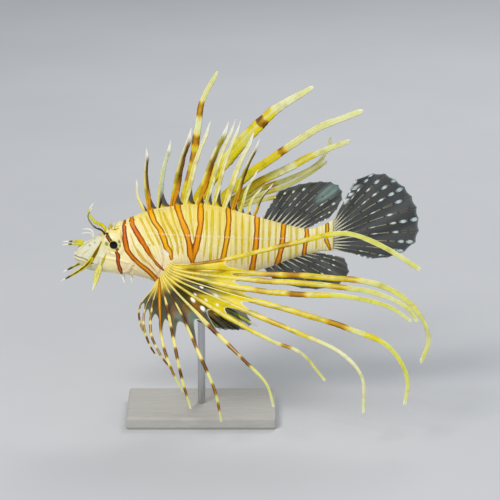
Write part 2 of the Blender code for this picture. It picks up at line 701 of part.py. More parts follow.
class Fan:
    """A fin: rays that thicken a web in its own surface, with free ends past the web.

    rays[i][k] is ray i's point at row k, and beside[i][k] holds the ways from it to the rays before and
    after, or None at an outer edge. Rows up to web_rows carry the web, which has one more column of points
    between each two rays: columns[i]. The half widths towards the lead and trail, the ridge's half height
    and the web's half thickness are functions of the ray, the row and, for the widths, the room there.
    """

    def __init__(self, rays, beside, columns, web_rows, lead, trail, ridge, web, seat):
        self.rays, self.beside, self.columns, self.web_rows = rays, beside, columns, web_rows
        self.lead, self.trail, self.ridge, self.web, self.seat = lead, trail, ridge, web, seat
        self.points, self.triangles, self.known = [], [], {}

    def frame(self, i, k):
        """The directions across ray i and off its surface at row k."""
        ray = self.rays[i]
        along = (ray[min(k + 1, len(ray) - 1)] - ray[max(k - 1, 0)]).normalized()
        before, after = self.beside[i][k]
        across = (after or Vector()) - (before or Vector())
        across = (across - along * across.dot(along)).normalized()
        return across, along.cross(across).normalized()

    def half_width(self, i, k, place):
        """How wide ray i is towards its neighbour."""
        way = self.beside[i][k][place == "trail"]
        room = way.length if way else WIDE_ROOM
        wide = (self.trail if place == "trail" else self.lead)(i, k, room)
        return min(wide, CLEAR_SHARE[place] * room)

    def vertex(self, key, point):
        if key not in self.known:
            self.known[key] = len(self.points)
            self.points.append(point)
        return self.known[key]

    def corner(self, i, place, k, face):
        """Vertex number of ray i at place lead, ridge or trail, at row k, on face +1 or -1."""
        last = len(self.rays[i]) - 1
        if k == last:
            return self.vertex((i, k), self.rays[i][k])
        beyond = k > self.web_rows or self.web_rows == 0
        outer = (place == "lead" and i == 0) or (place == "trail" and i == len(self.rays) - 1)
        if place != "ridge" and (beyond or (outer and k > 0)):
            face = 0
        key = (i, k, place, face)
        if key in self.known:
            return self.known[key]
        across, normal = self.frame(i, k)
        if place == "ridge":
            point = self.rays[i][k] + normal * face * self.ridge(i, k)
        else:
            step = 1 if place == "trail" else -1
            edge = across * step * self.half_width(i, k, place)
            point = self.rays[i][k] + edge + normal * face * self.web(k)
        return self.vertex(key, self.seat(point) if k == 0 else point)

    def web_point(self, i, k, face):
        """Vertex number of the column between rays i and i + 1, at row k, on face +1 or -1."""
        key = ("web", i, k, face)
        if key in self.known:
            return self.known[key]
        normal = (self.frame(i, k)[1] + self.frame(i + 1, k)[1]).normalized()
        point = self.columns[i][k] + normal * face * self.web(k)
        return self.vertex(key, self.seat(point) if k == 0 else point)

    def patch(self, corners):
        """Two triangles, or fewer where corners coincide."""
        a, b, c, d = corners
        self.triangles += [three for three in ((a, b, c), (a, c, d)) if len(set(three)) == 3]

    def strip(self, one, other, rows):
        """Both faces of the surface between two columns, each given as a function of row and face."""
        for k in range(rows):
            for face in (1, -1):
                self.patch((one(k, face), other(k, face), other(k + 1, face), one(k + 1, face)))
        self.patch((one(0, 1), one(0, -1), other(0, -1), other(0, 1)))

    def mesh(self, name):
        count, m = len(self.rays), self.web_rows
        for i in range(count):
            rows = len(self.rays[i]) - 1
            lead, ridge, trail = (partial(self.corner, i, place) for place in ("lead", "ridge", "trail"))
            self.strip(lead, ridge, rows)
            self.strip(ridge, trail, rows)
            for edge, outer in ((lead, i == 0), (trail, i == count - 1)):
                k = 0 if outer or m == 0 else m
                self.patch((edge(k, 1), edge(k + 1, 1), edge(k, -1), edge(k, -1)))
        for i in range(count - 1):
            trail, web, lead = (
                partial(self.corner, i, "trail"),
                partial(self.web_point, i),
                partial(self.corner, i + 1, "lead"),
            )
            for one, other in ((trail, web), (web, lead)):
                self.strip(one, other, m)
                self.patch((one(m, 1), other(m, 1), other(m, -1), one(m, -1)))
        return mesh_of(name, self.points, self.triangles)


def bend_progress(path):
    """How far along an evenly spaced path each point is, when bends count as well as length."""
    steps = [(b - a).normalized() for a, b in zip(path, path[1:])]
    turns = [0.0] + [a.angle(b, 0.0) for a, b in zip(steps, steps[1:])] + [0.0]
    each = 1 / (len(path) - 1) + BEND_SHARE * np.array(turns)
    done = np.concatenate([[0.0], np.cumsum((each[1:] + each[:-1]) / 2)])
    return done / done[-1]


def at_share(path, share):
    """The point at a share of an evenly spaced path."""
    place = min(max(share, 0.0), 1.0) * (len(path) - 1)
    low = min(int(place), len(path) - 2)
    return path[low].lerp(path[low + 1], place - low)


def way_to(point, path, share):
    """The way from a point to the nearest of a path's points that are about as far along."""
    reach = int(NEAR_SHARE * len(path))
    middle = int(share * (len(path) - 1))
    near = path[max(0, middle - reach) : middle + reach + 1]
    return min(near, key=lambda other: (other - point).length_squared) - point


def fan_rows(paths, counts, web_shares, notch, crowding=1.0, column_place=0.5):
    """The rays' rows, the ways to their neighbours, and the web's columns, cut back by the notch."""
    web_rows, free_rows = counts
    dense = [path_through(p, FINE_POINTS) for p in paths]
    even = np.linspace(0.0, 1.0, FINE_POINTS)
    rays, beside, columns = [], [], []
    for i, (path, web_share) in enumerate(zip(dense, web_shares)):
        held = [web_share * (k / web_rows) ** crowding for k in range(web_rows + 1)]
        progress = bend_progress(path)
        done, blunt = np.interp((held[-1], TIP_START), even, progress)
        free = np.interp(np.linspace(done, blunt, free_rows)[1:], progress, even)
        shares = [*held, *free, 1.0]
        rays.append([at_share(path, share) for share in shares])
        others = (dense[i - 1] if i else None, dense[i + 1] if i + 1 < len(dense) else None)
        beside.append([
            tuple(way_to(point, other, share) if other else None for other in others)
            for point, share in zip(rays[-1], shares)
        ])
    for i in range(len(dense) - 1):
        column = []
        for k in range(web_rows + 1):
            done = k / web_rows
            back = done**crowding * (1 - notch * done**2)
            ends = [at_share(dense[j], web_shares[j] * back) for j in (i, i + 1)]
            column.append(ends[0].lerp(ends[1], column_place))
        columns.append(column)
    return rays, beside, columns


def tapered(full, tip_share, rows):
    """A half width by row that is full over most of a ray and narrows to a share of itself before the tip."""
    return lambda i, k, room: full * (1 - (1 - tip_share) * (k / rows) ** RAY_TAPER)


def top_of(x):
    return body_point(x, 0.0)


def bottom_of(x):
    return body_point(x, math.pi)


def build_spiny_dorsal():
    """Thirteen tall spines, each with its own flag of skin, joined by a low web."""
    paths = []
    for root_x, tip_back, tip_up in DORSAL_SPINES:
        root, tip = top_of(root_x), from_side(tip_back, tip_up, 0.0)
        bow = Vector((-(tip.z - root.z), 0, tip.x - root.x)).normalized() * DORSAL_BOW
        paths.append((root, root.lerp(tip, 0.5) + bow, tip))
    shares = [DORSAL_WEB] * len(paths)
    rays, beside, columns = fan_rows(
        paths, DORSAL_ROWS, shares, DORSAL_NOTCH, column_place=DORSAL_COLUMN_PLACE
    )
    last = sum(DORSAL_ROWS)

    def lead(i, k, room):
        return DORSAL_LEAD

    def trail(i, k, room):
        flag = DORSAL_FLAGS[i] * min(1.0, DORSAL_NARROWING * (1 - k / last))
        skirt = DORSAL_SKIRT * math.exp(-DORSAL_SKIRT_FADE * k) * min(room, DORSAL_SKIRT_MOST)
        return max(flag, skirt)

    def ridge(i, k):
        return DORSAL_LEAD * (1 - 0.4 * k / last)

    fan = Fan(rays, beside, columns, DORSAL_ROWS[0], lead, trail, ridge, lambda k: WEB_HALF, seated)
    object_from("dorsal_fin_spiny", fan.mesh("dorsal_fin_spiny"), "fin_ray")


def median_fan(name, roots, tips, web_share, counts, seat):
    """An unpaired fin whose web reaches nearly to its rays' tips."""
    paths = []
    for root, tip in zip(roots, tips):
        sag = Vector((0, 0, MEDIAN_SAG * (tip - root).length))
        paths.append((root, root.lerp(tip, 0.5) + sag, tip))
    rays, beside, columns = fan_rows(paths, counts, [web_share] * len(paths), MEDIAN_NOTCH)
    wide = tapered(MEDIAN_HALF_WIDTH, MEDIAN_TIP_SHARE, counts[0])
    fan = Fan(
        rays, beside, columns, counts[0], wide, wide,
        lambda i, k: MEDIAN_RIDGE, lambda k: MEDIAN_WEB_HALF, seat,
    )
    object_from(name, fan.mesh(name), "clear_fin")


def sloping(count, root_at, roots, angles, lengths):
    """Roots on the body and tips of an unpaired fin's straight rays, from front to rear."""
    starts, ends = [], []
    for i in range(count):
        share = i / (count - 1)
        root = root_at(roots[0] + share * (roots[1] - roots[0]))
        angle = math.radians(angles[0] + share * (angles[1] - angles[0]))
        starts.append(root)
        ends.append(root + Vector((math.cos(angle), 0, math.sin(angle))) * curve_of(lengths, share))
    return starts, ends


def build_soft_dorsal():
    fan = sloping(SOFT_DORSAL_RAYS, top_of, SOFT_DORSAL_ROOTS, SOFT_DORSAL_ANGLES, SOFT_DORSAL_LENGTHS)
    median_fan("dorsal_fin_soft", *fan, SOFT_DORSAL_WEB, SOFT_DORSAL_ROWS, seated)


def build_anal():
    fan = sloping(ANAL_RAYS, bottom_of, ANAL_ROOTS, ANAL_ANGLES, ANAL_LENGTHS)
    median_fan("anal_fin", *fan, ANAL_WEB, ANAL_ROWS, seated)


def build_caudal():
    """The tail fin, a round fan that curls a little to the far side."""
    roots, tips = [], []
    top, bottom = top_of(STANDARD_LENGTH).z, bottom_of(STANDARD_LENGTH).z
    for i in range(CAUDAL_RAYS):
        share = i / (CAUDAL_RAYS - 1)
        height = top - CAUDAL_ROOT_MARGIN + share * (bottom - top + 2 * CAUDAL_ROOT_MARGIN)
        angle = math.radians(CAUDAL_ANGLES[0] + share * (CAUDAL_ANGLES[1] - CAUDAL_ANGLES[0]))
        radius = curve_of(CAUDAL_RADII, share)
        back = CAUDAL_HUB[0] + radius * math.cos(angle)
        up = CAUDAL_HUB[1] + radius * math.sin(angle)
        roots.append(Vector((STANDARD_LENGTH + GAP, 0, height)))
        tips.append(from_side(back, up, CAUDAL_CURL * math.sin(math.pi * share)))
    face = STANDARD_LENGTH + GAP
    median_fan("caudal_fin", roots, tips, CAUDAL_WEB, CAUDAL_ROWS, lambda p: Vector((face, p.y, p.z)))


def build_pelvic(word, side, reach_out, size):
    """A pelvic fin: one spine and five rays under the belly."""
    paths = []
    for i in range(PELVIC_RAYS):
        share = i / (PELVIC_RAYS - 1)
        x = PELVIC_ROOTS[0] + share * (PELVIC_ROOTS[1] - PELVIC_ROOTS[0])
        start = Vector((x, side * PELVIC_ROOT_OUT, section(x)[0] - section(x)[1]))
        root = seated(start, 0.0)
        angle = math.radians(PELVIC_ANGLES[0] + share * (PELVIC_ANGLES[1] - PELVIC_ANGLES[0]))
        length = size * curve_of(PELVIC_LENGTHS, share)
        seen_root = root.z * math.cos(VIEW_TILT) + root.y * math.sin(VIEW_TILT)
        away = (seated(root, 1.0) - seated(root, 0.0)).normalized()
        ends = [root, root + away * PELVIC_STANDOFF + Vector((PELVIC_STANDOFF, 0, 0))]
        for part in PELVIC_STEPS:
            out = root.y + side * reach_out * math.sin(PELVIC_TURN * part)
            drop = seen_root + length * part * math.sin(angle)
            ends.append(from_side(x + length * part * math.cos(angle), drop, out))
        paths.append(ends)
    shares = [PELVIC_WEB] * PELVIC_RAYS
    rays, beside, columns = fan_rows(paths, PELVIC_ROWS, shares, PELVIC_NOTCH, PELVIC_CROWDING)
    rows = sum(PELVIC_ROWS)
    wide = tapered(PELVIC_HALF_WIDTH, PELVIC_TIP_SHARE, rows)

    def ridge(i, k):
        return PELVIC_HALF_WIDTH * (1 - 0.45 * k / rows)

    fan = Fan(rays, beside, columns, PELVIC_ROWS[0], wide, wide, ridge, lambda k: WEB_HALF, seated)
    object_from(f"pelvic_fin_{word}", fan.mesh(f"pelvic_fin_{word}"), "clear_fin")


def pectoral_paths(table, bows, ends, side):
    """Each ray's path, from its root on the flank straight out, then through its points."""
    paths = []
    for i, seen in enumerate(table):
        share = i / (len(table) - 1)
        x, z = Vector(ends[0]).lerp(Vector(ends[1]), share)
        root = Vector((x, side * flank(x, z), z))
        bow = curve_of(bows, share)
        away = (seated(root, 1.0) - seated(root, 0.0)).normalized()
        heading = (from_side(*seen[0], side * (flank(x, z) + bow / 2)) - root).normalized()
        start = root + (away + heading).normalized() * PECTORAL_ROOT_OUT
        seen_start = (start.x, start.z * math.cos(VIEW_TILT) + start.y * math.sin(VIEW_TILT))
        steps = [seen_start, *seen]
        lengths = np.cumsum([0.0] + [math.dist(a, b) for a, b in zip(steps, steps[1:])])
        path = [root, start]
        for point, length in zip(seen, lengths[1:]):
            out = abs(start.y) + bow * math.sin(BOW_TURN * length / lengths[-1])
            path.append(from_side(point[0], point[1], side * out))
        paths.append(path)
    return paths


def build_pectoral(word, side, table, bows, ends, widths):
    """A pectoral fin of fourteen long rays, in an upper and a lower part."""
    paths = pectoral_paths(table, bows, ends, side)
    shares = [curve_of(PECTORAL_WEB, i / (len(paths) - 1)) for i in range(len(paths))]
    rays, beside, columns = fan_rows(paths, PECTORAL_ROWS, shares, PECTORAL_NOTCH, PECTORAL_CROWDING)
    web_rows, free_rows = PECTORAL_ROWS
    places = (0, web_rows, web_rows + free_rows / 2, web_rows + free_rows - 1)

    def ridge(i, k):
        along, at_root, fade = PECTORAL_RIDGE
        return along + at_root * math.exp(-k / fade)

    def web(k):
        along, at_root, fade = PECTORAL_WEB_HALF
        return along + at_root * math.exp(-k / fade)

    for part, chosen in (("upper", slice(0, PECTORAL_SPLIT)), ("lower", slice(PECTORAL_SPLIT, None))):
        profiles = [tuple(zip(places, (row[0], *row))) for row in widths[chosen]]

        def half_width(i, k, room, profiles=profiles):
            return curve_of(profiles[i], k)

        webs = columns[chosen][: len(profiles) - 1]
        fan = Fan(rays[chosen], beside[chosen], webs, web_rows, half_width, half_width, ridge, web, seated)
        name = f"pectoral_fin_{word}_{part}"
        object_from(name, fan.mesh(name), "fin_ray")


def untwisted(points):
    """Directions across a lone flap, flat to the side at its tip and turned with it back to its root."""
    steps = [(b - a).normalized() for a, b in zip(points, points[1:])]
    across = [Vector((0, 1, 0)).cross(steps[-1]).normalized()] * 2
    for step in reversed(steps[:-1]):
        last = across[0]
        across.insert(0, (last - step * last.dot(step)).normalized())
    return across


def build_flaps():
    """The feelers and skin flaps of the head, on both sides."""
    for name, (seen, (root_out, tip_out), widths) in FLAPS.items():
        for side, word in ((-1, "left"), (1, "right")):
            count = len(seen)
            path = []
            for k, (back, up) in enumerate(seen):
                out = root_out + (tip_out - root_out) * k / (count - 1)
                height = from_side(back, up, -out).z
                path.append(Vector((back, side * out, height)))
            root = seated(path[0], 0.0)
            path = [root, seated(path[0], FLAP_STANDOFF)] + path[1:]
            row_points = path_through(path, FLAP_ROWS + 1, FLAP_CROWDING)
            knots = [(j / (len(widths) - 1), w) for j, w in enumerate(widths)]

            def half_width(i, k, room, knots=knots):
                return curve_of(knots, k / FLAP_ROWS) / 2

            beside = [[(None, across * WIDE_ROOM) for across in untwisted(row_points)]]
            fan = Fan(
                [row_points], beside, [], 0, half_width, half_width,
                lambda i, k: FLAP_HALF_HEIGHT, lambda k: WEB_HALF, seated,
            )
            object_from(f"{name}_{word}", fan.mesh(f"{name}_{word}"), "fin_ray")


def build_stand():
    """A flat base on the floor and a rod up to the belly."""
    base_top = -LOWEST_FIN - FIN_CLEARANCE
    shape = bmesh.new()
    bmesh.ops.create_cube(shape, size=1.0)
    bmesh.ops.scale(shape, verts=shape.verts, vec=(STAND_LENGTH, STAND_WIDTH, STAND_THICK))
    bmesh.ops.translate(shape, verts=shape.verts, vec=(STAND_MIDDLE, 0, base_top - STAND_THICK / 2))
    mesh = bpy.data.meshes.new("stand_base")
    shape.to_mesh(mesh)
    shape.free()
    base = object_from("stand_base", mesh, "base")
    edges = base.modifiers.new("edges", "BEVEL")
    edges.width = STAND_EDGE * MM
    edges.segments = 2

    low, high = base_top + GAP, bottom_of(STAND_MIDDLE).z - GAP
    shape = bmesh.new()
    bmesh.ops.create_cone(
        shape, cap_ends=True, segments=24, radius1=ROD_RADIUS, radius2=ROD_RADIUS, depth=high - low
    )
    bmesh.ops.translate(shape, verts=shape.verts, vec=(STAND_MIDDLE, 0, (high + low) / 2))
    mesh = bpy.data.meshes.new("stand_rod")
    shape.to_mesh(mesh)
    shape.free()
    mesh.shade_smooth()
    mesh.set_sharp_from_angle(angle=math.radians(40))
    object_from("stand_rod", mesh, "rod")


def carry_and_centre():
    """Puts every part on one empty and moves it: the origin is the middle of the bottom of the model."""
    bpy.context.view_layer.update()
    graph = bpy.context.evaluated_depsgraph_get()
    corners = [
        corner for obj in PARTS.objects for corner in map(Vector, obj.evaluated_get(graph).bound_box)
    ]
    low = Vector([min(c[axis] for c in corners) for axis in range(3)])
    high = Vector([max(c[axis] for c in corners) for axis in range(3)])
    carrier = bpy.data.objects.new("lionfish", None)
    for obj in list(PARTS.objects):
        obj.parent = carrier
    PARTS.objects.link(carrier)
    carrier.location = (-(low.x + high.x) / 2, -(low.y + high.y) / 2, -low.z)
    bpy.context.view_layer.update()


for leftover in list(bpy.data.objects):
    bpy.data.objects.remove(leftover)
PARTS = bpy.data.collections.new("red_lionfish")
bpy.context.scene.collection.children.link(PARTS)
bpy.context.view_layer.active_layer_collection = bpy.context.view_layer.layer_collection.children[PARTS.name]
MATERIALS = {name: new_material(name) for name in COLOURS}

build_head()
build_eyes()
object_from("torso", torso_mesh(), "skin")
object_from("tail_stem", tail_stem_mesh(), "skin")
build_flaps()
build_spiny_dorsal()
build_soft_dorsal()
build_anal()
build_caudal()
build_pelvic("left", -1, PELVIC_LEFT_OUT, 1.0)
build_pelvic("right", 1, PELVIC_RIGHT_OUT, PELVIC_RIGHT_SHARE)
build_pectoral("left", -1, LEFT_RAYS, LEFT_BOW, LEFT_ROOTS, LEFT_WIDTHS)
build_pectoral("right", 1, RIGHT_RAYS, RIGHT_BOW, RIGHT_ROOTS, RIGHT_WIDTHS)
build_stand()
carry_and_centre()
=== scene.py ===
"""The look of a red lionfish, built over its solids.

Lengths in the tables are millimetres in the fish's own frame: x runs back from the snout, y to the fish's
right and z up. Points given as (back, up) are read as the fish looks from its left and 15 degrees above.
"""

import math

import bpy
import numpy as np
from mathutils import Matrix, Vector


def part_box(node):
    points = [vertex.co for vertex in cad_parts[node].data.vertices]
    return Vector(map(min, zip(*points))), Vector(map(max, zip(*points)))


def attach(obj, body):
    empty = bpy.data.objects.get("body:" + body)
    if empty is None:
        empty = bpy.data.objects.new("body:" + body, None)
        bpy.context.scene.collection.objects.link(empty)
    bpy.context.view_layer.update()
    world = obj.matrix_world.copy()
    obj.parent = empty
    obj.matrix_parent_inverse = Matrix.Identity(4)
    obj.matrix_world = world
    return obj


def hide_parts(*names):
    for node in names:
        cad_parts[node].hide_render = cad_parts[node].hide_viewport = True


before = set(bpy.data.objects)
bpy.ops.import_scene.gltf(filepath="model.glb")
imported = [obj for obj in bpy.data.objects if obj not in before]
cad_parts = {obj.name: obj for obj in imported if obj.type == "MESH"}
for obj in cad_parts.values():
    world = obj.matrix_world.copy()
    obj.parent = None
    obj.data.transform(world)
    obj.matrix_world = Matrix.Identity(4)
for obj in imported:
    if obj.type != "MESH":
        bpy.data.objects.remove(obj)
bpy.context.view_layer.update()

MM = 0.001
VIEW_TILT = math.radians(15)
SIN, COS = math.sin(VIEW_TILT), math.cos(VIEW_TILT)
STAND_MIDDLE = 100.0
BASE_TOP = -128.0
base_low, base_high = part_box("stand_base")
ORIGIN = np.array([
    (base_low.x + base_high.x) / 2 - STAND_MIDDLE * MM,
    (base_low.y + base_high.y) / 2,
    base_high.z - BASE_TOP * MM,
])
RNG = np.random.default_rng(7)
TOWARDS_CAMERA = np.array([0, -COS, SIN])
BACKWARDS, SIDEWAYS = np.array([1, 0, 0]), np.array([0, 1, 0])
# A direction that no thin thread runs along, and how many neighbours smooth a ray's turn on either side.
TUBE_ASIDE = np.array([0.13, 0.98, 0.17])
SMOOTHING = 4
SIDES = ((-1, "left"), (1, "right"))

# The body: distance back, top, bottom and half width of each section.
SECTIONS = np.array([
    (0, -0.5, -8, 2.4), (2, 3, -10.4, 4.6), (5, 5.5, -13.3, 6.3), (10, 8.4, -15.8, 8.1),
    (16, 11, -17, 9.6), (25, 17, -18, 11.2), (35, 22.6, -19, 13.2), (47, 28, -20.2, 15.4),
    (60, 32.4, -23.4, 17.8), (75, 35.2, -27.4, 18.4), (95, 36.9, -28.6, 17.6), (115, 35, -25.2, 15.3),
    (135, 29.5, -19.6, 12.2), (155, 24, -13.3, 9.2), (172, 19.4, -6.6, 6.8), (187, 17.2, -2.4, 4.8),
    (196, 20, -0.8, 3.9), (205, 24.4, -0.8, 2.6),
])
SQUARENESS = 2.3
BELLY_SHARE = 0.12
STANDARD_LENGTH = 205.0
GILL_TOP, GILL_REACH, GILL_ANGLE, GILL_SPREAD = 57, 13, 1.75, 0.75
MOUTH_LINE = ((-2, -4), (6, -5.2), (14.5, -8.8))
EYE_CENTRE = (30.8, 8.9, 7.8)
EYE_RADIUS, EYE_DEPTH = 9.0, 5.4
EYE_ROLL, EYE_ROWS, EYE_AROUND = math.radians(111.6), 70, 96
# Dark patches of the iris: how far across and up from its middle, half width and colour.
EYE_PATCHES = (
    (-5.6, 0.8, 2.2, (122, 132, 26)), (4.9, 2.8, 1.9, (88, 76, 14)), (5.2, -0.8, 1.7, (140, 160, 20)),
)
# Lines of the head as (x, z), and the nostrils: x, z and radius.
JAW_BONE = ((4.5, -1.6), (10, -3.4), (15.8, -7))
NOSTRILS = ((11.5, 5.4, 0.8), (15.6, 7.7, 0.65))
CHEEK_GROOVE = ((44.6, 9), (47.2, 1), (47.4, -8), (44, -15.5), (36, -18.6))
# Ridges of the head and flank: how far the skin rises, the width, and the line on the flank as (x, z).
RIDGES = (
    (0.6, 0.85, ((17, -2.2), (24, -3.6), (33, -4.4), (44, -7.2))),
    (0.55, 0.9, ((42.5, 9), (45, 1), (45.2, -7.5), (42, -14), (34, -17.5))),
    (-0.45, 0.6, CHEEK_GROOVE),
    (0.45, 0.7, ((48, 8.5), (54, 9.5), (61, 9.8))),
    (0.4, 0.9, ((36, 20.4), (42, 23.2), (50, 27))),
    (0.35, 0.9, ((8, 5), (14, 8), (22, 12))),
    (0.22, 0.45, ((60, 17), (80, 16.2), (110, 14.6), (150, 12.4), (203, 11.2))),
)
FOLD_PITCH = 2.1
# The skin's grid: rows up to and past a place behind the head, points around, and the rounded ends.
HEAD_END, HEAD_ROWS, BODY_ROWS, AROUND = 62, 235, 165, 216
SNOUT_ROWS, SNOUT_REACH, TAIL_ROWS, TAIL_REACH, CLOSING_LEAST = 12, 1.5, 7, 0.9, 0.02

# One scale, root first: shares of its length back, its width across and its size out from the skin.
SCALE = np.array([
    (-0.45, 0, -0.06), (-0.05, -0.5, 0), (-0.05, 0, 0.09), (-0.05, 0.5, 0), (0.4, -0.46, 0.07),
    (0.5, 0, 0.2), (0.4, 0.46, 0.07), (0.66, 0, 0.19), (0.66, 0, -0.05), (0.5, -0.34, 0.12),
    (0.5, 0.34, 0.12), (0.5, -0.36, -0.05), (0.5, 0.36, -0.05),
])
SCALE_FACES = (
    (0, 1, 2), (0, 2, 3), (1, 4, 2), (2, 6, 3), (4, 9, 5, 2), (2, 5, 10, 6), (9, 7, 5), (5, 7, 10),
    (9, 11, 8, 7), (7, 8, 12, 10),
)
# Where the scales start, how many go around, and how their size follows the body's half height.
SCALES_START, SCALES_AROUND, SCALE_SIZE, SCALE_TALL, SCALE_POWER = 57, 104, 1.5, 30, 0.55
SCALE_OVERLAP, SCALE_RAISE, SCALE_JITTER = (1.25, 1.12), 0.85, 0.12

# The back spines: root, the tip back and up, the width of the flag behind, and its pattern.
DORSAL_SPINES = (
    (55, 48.8, 56, 1.9, "white"), (58.4, 57.2, 80.8, 4, "brown"), (65.6, 76.4, 87.2, 4, "green"),
    (76, 92.8, 96.8, 6, "brown"), (86.4, 108, 102.4, 4, "white"), (96, 122.4, 101.6, 5.6, "olive"),
    (103.2, 128, 103.2, 3.2, "white"), (109.6, 132, 102.4, 3.2, "white"), (117.6, 142.4, 93.6, 4.8, "white"),
    (124.8, 147.2, 88.8, 3.6, "brown"), (131.2, 145.6, 64, 2, "white"), (136.8, 148.8, 50, 1.8, "white"),
    (142.4, 157.6, 53, 1.8, "brown"),
)
# How far the rays of the other fins reach, from each fin's first ray (0) to its last (1).
SOFT_DORSAL_REACH = ((0, 27), (0.3, 44), (0.6, 53), (0.8, 44), (1, 22))
ANAL_REACH = ((0, 13), (0.22, 30), (0.45, 43), (0.7, 44), (1, 26))
CAUDAL_REACH = ((0, 54), (0.12, 69), (0.25, 75.5), (0.6, 80.5), (0.78, 75), (0.9, 60), (1, 45))
PELVIC_REACH = ((0, 42), (0.4, 60), (0.75, 69), (1, 56))
# The tail fin fans out from a point as seen, between two angles, and sways out of the body's plane.
CAUDAL_RAYS, CAUDAL_ANGLES, CAUDAL_MIDDLE, CAUDAL_SWAY = 13, (58, -24), (196, 11), 7
PELVIC_RAYS, PELVIC_ROOTS, PELVIC_ANGLES, PELVIC_OUT = 6, (73, 81), (-50, -24), 6
# Points of a clear ray, how many of them are kept, and how far the webs reach along the rays.
RAY_POINTS, RAY_SHOWN, CLEAR_WEB_END, PELVIC_WEB_END = 110, 107, 0.985, 0.95
# How far apart the marks are on the back spines and the belly fins' rays, and their webs' spots.
SPINE_PITCH, PELVIC_PITCH, SPOT_PITCH = 22, 13, 0.20

# The side fins' rays as the picture shows them, from the top one down.
LEFT_RAYS = (
    ((111, -9), (167, 4), (215, 13), (247, 1), (274, -16)),
    ((139, -18), (195, -21), (243, -28), (270, -47), (280, -70), (274, -90)),
    ((139, -23), (195, -27), (239, -34), (262, -45), (271, -57)),
    ((123, -28), (171, -34), (215, -36), (247, -44), (266, -56)),
    ((119, -33), (171, -47), (219, -62), (247, -75), (262, -100), (260, -122)),
    ((123, -42), (171, -62), (210, -80), (226, -98), (228, -129)),
    ((111, -46), (155, -70), (179, -80), (198, -102)),
    ((102, -54), (135, -86), (152, -104), (158, -123)),
    ((85, -50), (100, -82), (112, -110), (117, -135)),
    ((74, -46), (80, -73), (86, -100), (93, -125)),
    ((68, -48), (71, -74), (78, -94), (87, -112)),
    ((61.5, -46), (61.5, -66), (68, -81), (77, -94)),
    ((57, -44), (55, -58), (59, -73), (65, -84)),
    ((53, -42), (51, -51), (53, -61), (57, -70)),
)
RIGHT_RAYS = (
    ((91, 64), (96, 96), (100, 120), (113, 145)),
    ((99, 46), (123, 78), (159, 114), (191, 133)),
    ((131, 56), (167, 82), (195, 100), (232, 114)),
    ((139, 51), (171, 68), (195, 80), (222, 90)),
    ((137, 45), (171, 59), (192, 69), (202, 81), (206, 93)),
    ((131, 39), (171, 54), (191, 65), (203, 74)),
    ((128, 35), (167, 46), (195, 56)),
    ((113, 17), (147, 20)),
    ((107, 8), (138, 6)),
    ((100, 0), (127, -6)),
    ((93, -7), (115, -16)),
    ((86, -14), (103, -25)),
    ((79, -19), (91, -31)),
    ((73, -23), (81, -35)),
)
# How far the rays bow away from the body, from the first ray (0) to the last (1).
LEFT_BOW = ((0, 20), (0.25, 58), (0.5, 72), (0.75, 56), (1, 17))
RIGHT_BOW = ((0, 42), (0.25, 60), (0.5, 82), (0.62, 88), (0.8, 74), (0.92, 54), (1, 38))
BOW_TURN = 1.75
# Where the first and the last ray leave the flank, as (x, z).
LEFT_ROOTS = ((76, -4.5), (64.5, -21.5))
RIGHT_ROOTS = ((73.5, -4.5), (69.5, -21.5))
PECTORAL_ROOT_OUT = 6.0
PECTORAL_SPLIT, PECTORAL_POINTS = 7, 161
STRIPED_RAY = 10
# How white the ends of the long rays are: each left upper one, the right upper ones and the lower ones.
LEFT_PALE, RIGHT_PALE, LOWER_PALE = (0.15, 0.2, 0.25, 0.1, 0.1, 0.6, 0.2), 0.45, 0.25
# Where each ray leaves its web, as a share of its length, from the first ray (0) to the last (1).
PECTORAL_WEB = ((0, 0.24), (0.3, 0.32), (0.6, 0.44), (1, 0.48))
# How brown the blotches of the lower webs are, and where the slants of the webs' white spots meet.
WEB_BROWN = {6: 0.85, 7: 0.4, 8: 0.4}
FAN_MIDDLE = (70, -12)

# Bands along the long rays: where each starts and ends, as a share of the ray as seen, and how dark it is.
LEFT_BANDS = (
    ((0.09, 0.20, 0.75), (0.26, 0.32, 0.3), (0.42, 0.46, 0.6), (0.55, 0.61, 0.3)),
    ((0.06, 0.10, 1), (0.17, 0.19, 0.8), (0.22, 0.26, 0.4), (0.31, 0.34, 0.6), (0.38, 0.41, 0.7),
     (0.44, 0.48, 0.3), (0.56, 0.585, 0.5)),
    ((0.36, 0.40, 0.5), (0.51, 0.55, 0.4), (0.63, 0.67, 0.5)),
    ((0.37, 0.40, 0.5), (0.50, 0.55, 0.8), (0.60, 0.64, 0.3)),
    ((0.46, 0.52, 0.4), (0.57, 0.62, 0.7), (0.70, 0.73, 0.3)),
    ((0.44, 0.50, 0.5), (0.56, 0.59, 0.2)),
    ((0.50, 0.54, 0.4), (0.71, 0.74, 0.7)),
    ((0.41, 0.46, 0.9), (0.56, 0.62, 0.6), (0.66, 0.71, 0.8)),
    ((0.15, 0.20, 1), (0.30, 0.35, 1), (0.46, 0.50, 0.8), (0.60, 0.66, 0.9), (0.76, 0.81, 0.7),
     (0.88, 0.91, 0.7)),
    ((0.12, 0.16, 0.7), (0.24, 0.29, 0.9), (0.40, 0.45, 0.9), (0.55, 0.61, 0.9), (0.70, 0.75, 0.9),
     (0.84, 0.88, 0.7)),
    ((0.06, 0.44, 0.6), (0.60, 0.67, 0.9), (0.76, 0.83, 0.8)),
)
